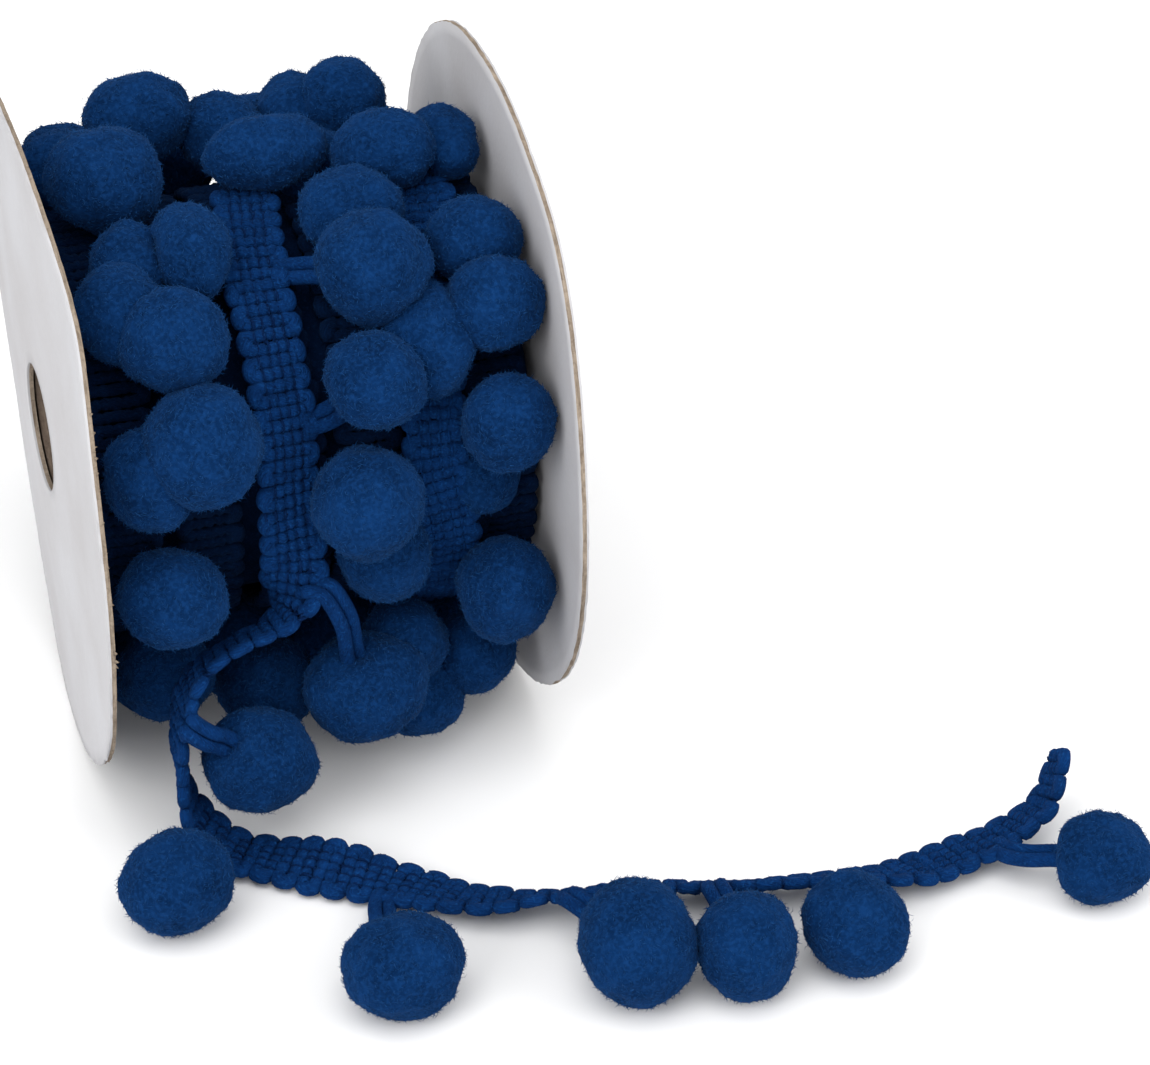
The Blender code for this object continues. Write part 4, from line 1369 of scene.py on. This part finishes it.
@dataclass
class CardReel:
    """Two card discs on a card tube.

    Attributes:
        place: where the reel stands.
        paper: finish of the cards' faces.
        kraft: finish of their cut edges.
        core: finish of the tube.
        hub_hole_radius: radius of the hole in a card.
        tube_inner_radius: radius of the tube's bore.
        tube_outer_radius: radius of its outside.
        steps: steps round a card.
        tear_count: number of torn bits on the left card's rim.
    """

    place: ReelFrame
    paper: bpy.types.Material
    kraft: bpy.types.Material
    core: bpy.types.Material
    hub_hole_radius: float = 8.25
    tube_inner_radius: float = 8.6
    tube_outer_radius: float = 10.6
    steps: int = 224
    tear_count: int = 17

    def ring(self, name: str, low_x: float, high_x: float, low_radius: float, high_radius: float,
             cuts: tuple[int, int], steps: int, material: bpy.types.Material) -> bpy.types.Object:
        """Spin a rectangle round the reel's axis.

        Args:
            name: name of the piece.
            low_x: its left face.
            high_x: its right face.
            low_radius: radius of its hole.
            high_radius: its outer radius.
            cuts: cuts along X and along the radius.
            steps: steps round the axis.
            material: its finish.

        Returns:
            A closed ring at the origin.
        """
        deselect_all()
        middle = np.array([(low_x + high_x) / 2.0, 0.0,
                           self.place.axis_height + (low_radius + high_radius) / 2.0])
        bpy.ops.mesh.primitive_plane_add(size=1.0, location=self.place.place(middle),
                                         rotation=(math.radians(90.0), 0.0, 0.0))
        made = bpy.context.object
        made.name = name
        made.scale = ((high_x - low_x) * MM, (high_radius - low_radius) * MM, 1.0)
        bpy.ops.object.transform_apply(location=True, rotation=True, scale=True)
        bpy.ops.object.mode_set(mode="EDIT")
        bpy.ops.mesh.select_all(action="SELECT")
        bpy.ops.mesh.delete(type="ONLY_FACE")
        for axis, count in ((0, cuts[0]), (2, cuts[1])):
            self.select_edges_along(made, axis)
            bpy.ops.mesh.subdivide(number_cuts=count)
        bpy.ops.mesh.select_all(action="SELECT")
        centre = (0.0, self.place.axis_y, self.place.axis_z)
        bpy.ops.mesh.spin(steps=steps, dupli=False, angle=math.tau, center=centre,
                          axis=(1.0, 0.0, 0.0))
        bpy.ops.mesh.select_all(action="SELECT")
        bpy.ops.mesh.remove_doubles(threshold=0.00001)
        bpy.ops.mesh.normals_make_consistent(inside=False)
        bpy.ops.object.mode_set(mode="OBJECT")
        made.data.name = name
        made.data.materials.append(material)
        made.data.shade_smooth()
        return made

    def select_edges_along(self, made: bpy.types.Object, axis: int) -> None:
        """Select the edges that run along one axis, in edit mode."""
        bpy.ops.mesh.select_all(action="DESELECT")
        bpy.ops.object.mode_set(mode="OBJECT")
        verts = made.data.vertices
        for edge in made.data.edges:
            run = verts[edge.vertices[1]].co - verts[edge.vertices[0]].co
            edge.select = abs(run[axis]) > 0.5 * run.length
        bpy.ops.object.mode_set(mode="EDIT")

    def disc(self, name: str, left: bool, seed: int) -> bpy.types.Object:
        """Build one card with its rough cut rim.

        Args:
            name: name of the piece.
            left: whether it is the left card.
            seed: seed of the rough rim.

        Returns:
            The card.
        """
        thickness, rim = self.place.thickness, self.place.disc_radius
        low = 0.0 if left else self.place.width - thickness
        made = self.ring(name, low, low + thickness, self.hub_hole_radius, rim, (2, 5),
                         self.steps, self.paper)
        made.data.materials.append(self.kraft)
        draw = random.Random(seed)
        waves = [(draw.uniform(0.0, math.tau), draw.choice((31, 47, 63, 89))) for _ in range(5)]
        axis = np.array([0.0, self.place.axis_y, self.place.axis_z])
        shift = self.place.place(np.zeros(3))
        outer = shift[0] + (low if left else low + thickness) * MM
        papered = [abs(face.center.x - outer) < 0.3 * thickness * MM
                   or abs(face.normal.x) > FACE_ON for face in made.data.polygons]
        points = np.array([(np.array(vert.co) - shift) / MM for vert in made.data.vertices])
        leans = self.place.lean(points, left)
        for vert, lean in zip(made.data.vertices, leans):
            spoke = np.array(vert.co) - axis
            radius = math.hypot(spoke[1], spoke[2]) / MM
            vert.co.x += float(lean) * MM
            if radius > rim - 0.3:
                turn = math.atan2(spoke[2], spoke[1])
                ragged = sum(math.sin(turn * count + phase) for phase, count in waves) / 5.0
                scale = 1.0 - (0.16 * abs(ragged) + draw.uniform(0.0, 0.22)) / radius
                vert.co.y = self.place.axis_y + spoke[1] * scale
                vert.co.z = self.place.axis_z + spoke[2] * scale
            vert.co.z = max(vert.co.z, 0.0)
        for face, white in zip(made.data.polygons, papered):
            face.material_index = 0 if white else 1
            face.use_smooth = abs(face.normal.x) > FACE_ON
        return made

    def shreds(self) -> bpy.types.Object:
        """Build the torn bits of board along the inner edge of the left card's rim."""
        draw = np.random.default_rng(9)
        parts = MeshParts()
        rim, inner = self.place.disc_radius - 0.35, self.place.thickness
        for turn in np.sort(draw.uniform(-9.0, 36.0, self.tear_count)):
            wide, out = draw.uniform(0.25, 0.8), draw.uniform(0.05, 0.45)
            tip = (inner + draw.uniform(0.0, 0.35), turn + draw.uniform(-0.6, 0.6),
                   rim + 0.3 + out)
            corners = [(0.55, turn - wide, rim), (0.55, turn + wide, rim),
                       (inner, turn, rim - 0.3), tip]
            verts = np.array([self.place.around(*corner) for corner in corners])
            verts[:, 0] += self.place.lean(verts, True)
            parts.add(verts, tris=np.array([[0, 1, 2], [0, 3, 1], [1, 3, 2], [2, 3, 0]]))
        return parts.build("torn_paper", self.place, self.kraft)

    def tube(self) -> bpy.types.Object:
        """Build the core tube."""
        start = self.place.thickness + 0.3
        return self.ring("core", start, self.place.width - start, self.tube_inner_radius,
                         self.tube_outer_radius, (8, 1), 96, self.core)


@dataclass
class Studio:
    """Pale floor, soft light and the camera.

    Attributes:
        place: where the reel stands.
        camera_point: the camera's place in reel millimetres.
        yaw: turn of the view from +Y towards +X, in radians.
        pitch: angle of the view below the horizon, in radians.
        lens: focal length for a 36 mm wide picture.
    """

    place: ReelFrame
    camera_point: tuple = (-69.88, -482.19, 377.43)
    yaw: float = 0.2832
    pitch: float = 0.6283
    lens: float = 145.21

    def floor(self) -> None:
        """Lay the floor."""
        deselect_all()
        bpy.ops.mesh.primitive_plane_add(size=6.0, location=(0.0, 0.0, -0.0001))
        floor = bpy.context.object
        floor.name = "pale_floor"
        bpy.ops.object.transform_apply(location=True, rotation=True, scale=True)
        floor.data.materials.append(FloorFinish().material())

    def lamp(self, name: str, where: tuple, target: tuple, size: float, power: float) -> None:
        """Hang a soft square lamp.

        Args:
            name: its name.
            where: its place in metres.
            target: the point that it faces.
            size: its side in metres.
            power: its power in watts.
        """
        light = bpy.data.lights.new(name, "AREA")
        light.shape = "SQUARE"
        light.size = size
        light.energy = power
        lamp = bpy.data.objects.new(name, light)
        lamp.location = where
        facing = Vector(target) - Vector(where)
        lamp.rotation_euler = facing.to_track_quat("-Z", "Y").to_euler()
        bpy.context.scene.collection.objects.link(lamp)

    def light(self) -> None:
        """Set the lamps and a pale surround."""
        middle = (0.0, 0.0, 0.03)
        self.lamp("overhead", (-0.20, -0.40, 1.05), middle, 0.9, 6.0)
        self.lamp("front_left", (-0.80, -0.60, 0.60), middle, 0.7, 5.0)
        self.lamp("front_right", (0.80, -0.60, 0.50), middle, 0.7, 4.0)
        world = bpy.data.worlds.new("pale_surround")
        world.use_nodes = True
        world.node_tree.nodes["Background"].inputs["Color"].default_value = (1.0, 1.0, 1.0, 1.0)
        world.node_tree.nodes["Background"].inputs["Strength"].default_value = 0.85
        bpy.context.scene.world = world
        bpy.context.scene.view_settings.view_transform = "Standard"

    def camera(self) -> None:
        """Place the camera at the photograph's viewing angle."""
        data = bpy.data.cameras.new("camera")
        data.sensor_width = 36.0
        data.lens = self.lens
        data.clip_start = 0.01
        data.clip_end = 20.0
        camera = bpy.data.objects.new("camera", data)
        camera.location = self.place.place(np.array(self.camera_point))
        camera.rotation_euler = (math.pi / 2.0 - self.pitch, 0.0, -self.yaw)
        bpy.context.scene.collection.objects.link(camera)
        bpy.context.scene.camera = camera


@dataclass
class LooseTrim:
    """The last turn of tape and the loose end, with the fibres of their yarn.

    Attributes:
        place: where the reel stands.
        half_width: half width of the tape.
        curve_steps: places between two rows of its tables.
    """

    place: ReelFrame
    half_width: float = 4.25
    curve_steps: int = 24

    def path(self) -> TapePath:
        """Return the tape's middle line."""
        rows = [np.append(self.place.around(*row), (-1.0, 0.0, 0.0)) for row in LAST_TURN]
        for row in LOOSE_END:
            azimuth, lean = math.radians(row.azimuth), math.radians(row.lean)
            across = (math.cos(lean) * math.cos(azimuth), math.cos(lean) * math.sin(azimuth),
                      math.sin(lean))
            rows.append(np.array([row.x, row.y, row.z, *across]))
        curve = smooth_curve(np.array(rows), self.curve_steps)
        return TapePath(curve[:, :3], curve[:, 3:])

    def fuzz(self, sources: list[MeshParts]) -> MeshParts:
        """Grow short fibres on the yarn of the tape and of the loops.

        Args:
            sources: the yarns.

        Returns:
            The fibres.
        """
        grown = MeshParts()
        nap = Nap(short=1.4, stray=0.05, length=0.45, stray_length=0.8, width=0.09, lift=30.0)
        draw = np.random.default_rng(77)
        for source in sources:
            quads = np.vstack(source.quads)
            tris = np.vstack([quads[:, [0, 1, 2]], quads[:, [0, 2, 3]]])
            nap.grow(grown, np.vstack(source.verts), tris, draw)
        grown.verts = above_floor(grown.verts)
        return grown


def declare(piece: bpy.types.Object, slot: str, *nodes: str) -> bpy.types.Object:
    """Fix a piece to the part.

    Args:
        piece: the piece.
        slot: material slot of the record; not used.
        *nodes: CAD nodes that it stands for.

    Returns:
        The piece.
    """
    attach(piece, "root")
    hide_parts(*nodes)
    piece.data.calc_loop_triangles()
    LOG.info("%s: %d triangles", piece.name, len(piece.data.loop_triangles))
    return piece


def main() -> None:
    """Build the pieces in order and report each."""
    logging.basicConfig(level=logging.INFO, format="%(message)s")
    place = ReelFrame.from_cad()
    felt = FeltFinish().material()
    yarn = YarnFinish().material()
    thread = YarnFinish("warp_thread", (0.0015, 0.008, 0.038, 1.0), (0.0032, 0.021, 0.090, 1.0),
                        (0.012, 0.060, 0.200, 1.0)).material()
    paper = PaperFinish().material()
    edge = KraftFinish("card_edge", (0.33, 0.27, 0.21, 1.0), (0.15, 0.115, 0.085, 1.0)).material()
    core = KraftFinish("core_board", (0.17, 0.13, 0.10, 1.0), (0.09, 0.065, 0.05, 1.0)).material()

    reel = CardReel(place, paper, edge, core)
    declare(reel.disc("card_left", True, 3), "card", "flange_left")
    declare(reel.disc("card_right", False, 4), "card", "flange_right")
    declare(reel.shreds(), "card", "flange_left")
    declare(reel.tube(), "kraft", "core_tube")

    trim = LooseTrim(place)
    path = trim.path()
    band = WovenBand(path)
    weft, warp, loops = MeshParts(), MeshParts(), MeshParts()
    band.weft(weft)
    band.warp(warp)
    leads = Loops()
    entries = [leads.from_tape(loops, path, trim.half_width, row) for row in LOOSE_POMPOMS]
    fuzz = trim.fuzz([weft, loops])
    tape = declare(weft.build("tape_weft", place, yarn), "blue_yarn", "heading_tape")
    nap = declare(fuzz.build("tape_nap", place, yarn), "blue_yarn", "heading_tape")
    threads = declare(warp.build("tape_warp", place, thread), "blue_yarn", "heading_tape")
    carriers = declare(loops.build("pompom_loops", place, yarn), "blue_yarn", "heading_tape")

    # A darker copy of the yarn, painted shade for the tape that lies deep in the reel.
    painted_shade = YarnFinish("painted_shade_yarn", (0.0010, 0.005, 0.020, 1.0), (0.0018, 0.011, 0.042, 1.0),
                        (0.004, 0.022, 0.075, 1.0)).material()
    wound = WoundTrim(place, yarn, painted_shade)
    inner = declare(wound.inner(reel), "blue_yarn", "wound_trim")
    declare(wound.turns("wound_turns", False), "blue_yarn", "wound_trim")
    declare(wound.turns("showing_turn", True), "blue_yarn", "wound_trim")

    pompoms = Pompoms(place, felt)
    for index, (row, entry) in enumerate(zip(LOOSE_POMPOMS, entries), start=1):
        piece = pompoms.loose(index, row, entry)
        declare(piece, "blue_felt", f"pompom_{index:02d}")
    half = len(FRONT_POMPOMS) // 2
    groups = (("wound_pompoms_right", list(FRONT_POMPOMS[:half]), Detail.FINE),
              ("wound_pompoms_left", list(FRONT_POMPOMS[half:]), Detail.FINE),
              ("wound_pompoms_back", wound.back_pompoms(), Detail.PLAIN))
    for number, (name, rows, detail) in enumerate(groups):
        declare(pompoms.wound(name, rows, detail, 200 + number), "blue_felt", "wound_trim")

    studio = Studio(place)
    studio.floor()
    studio.light()
    studio.camera()


if __name__ == "__main__":
    main()
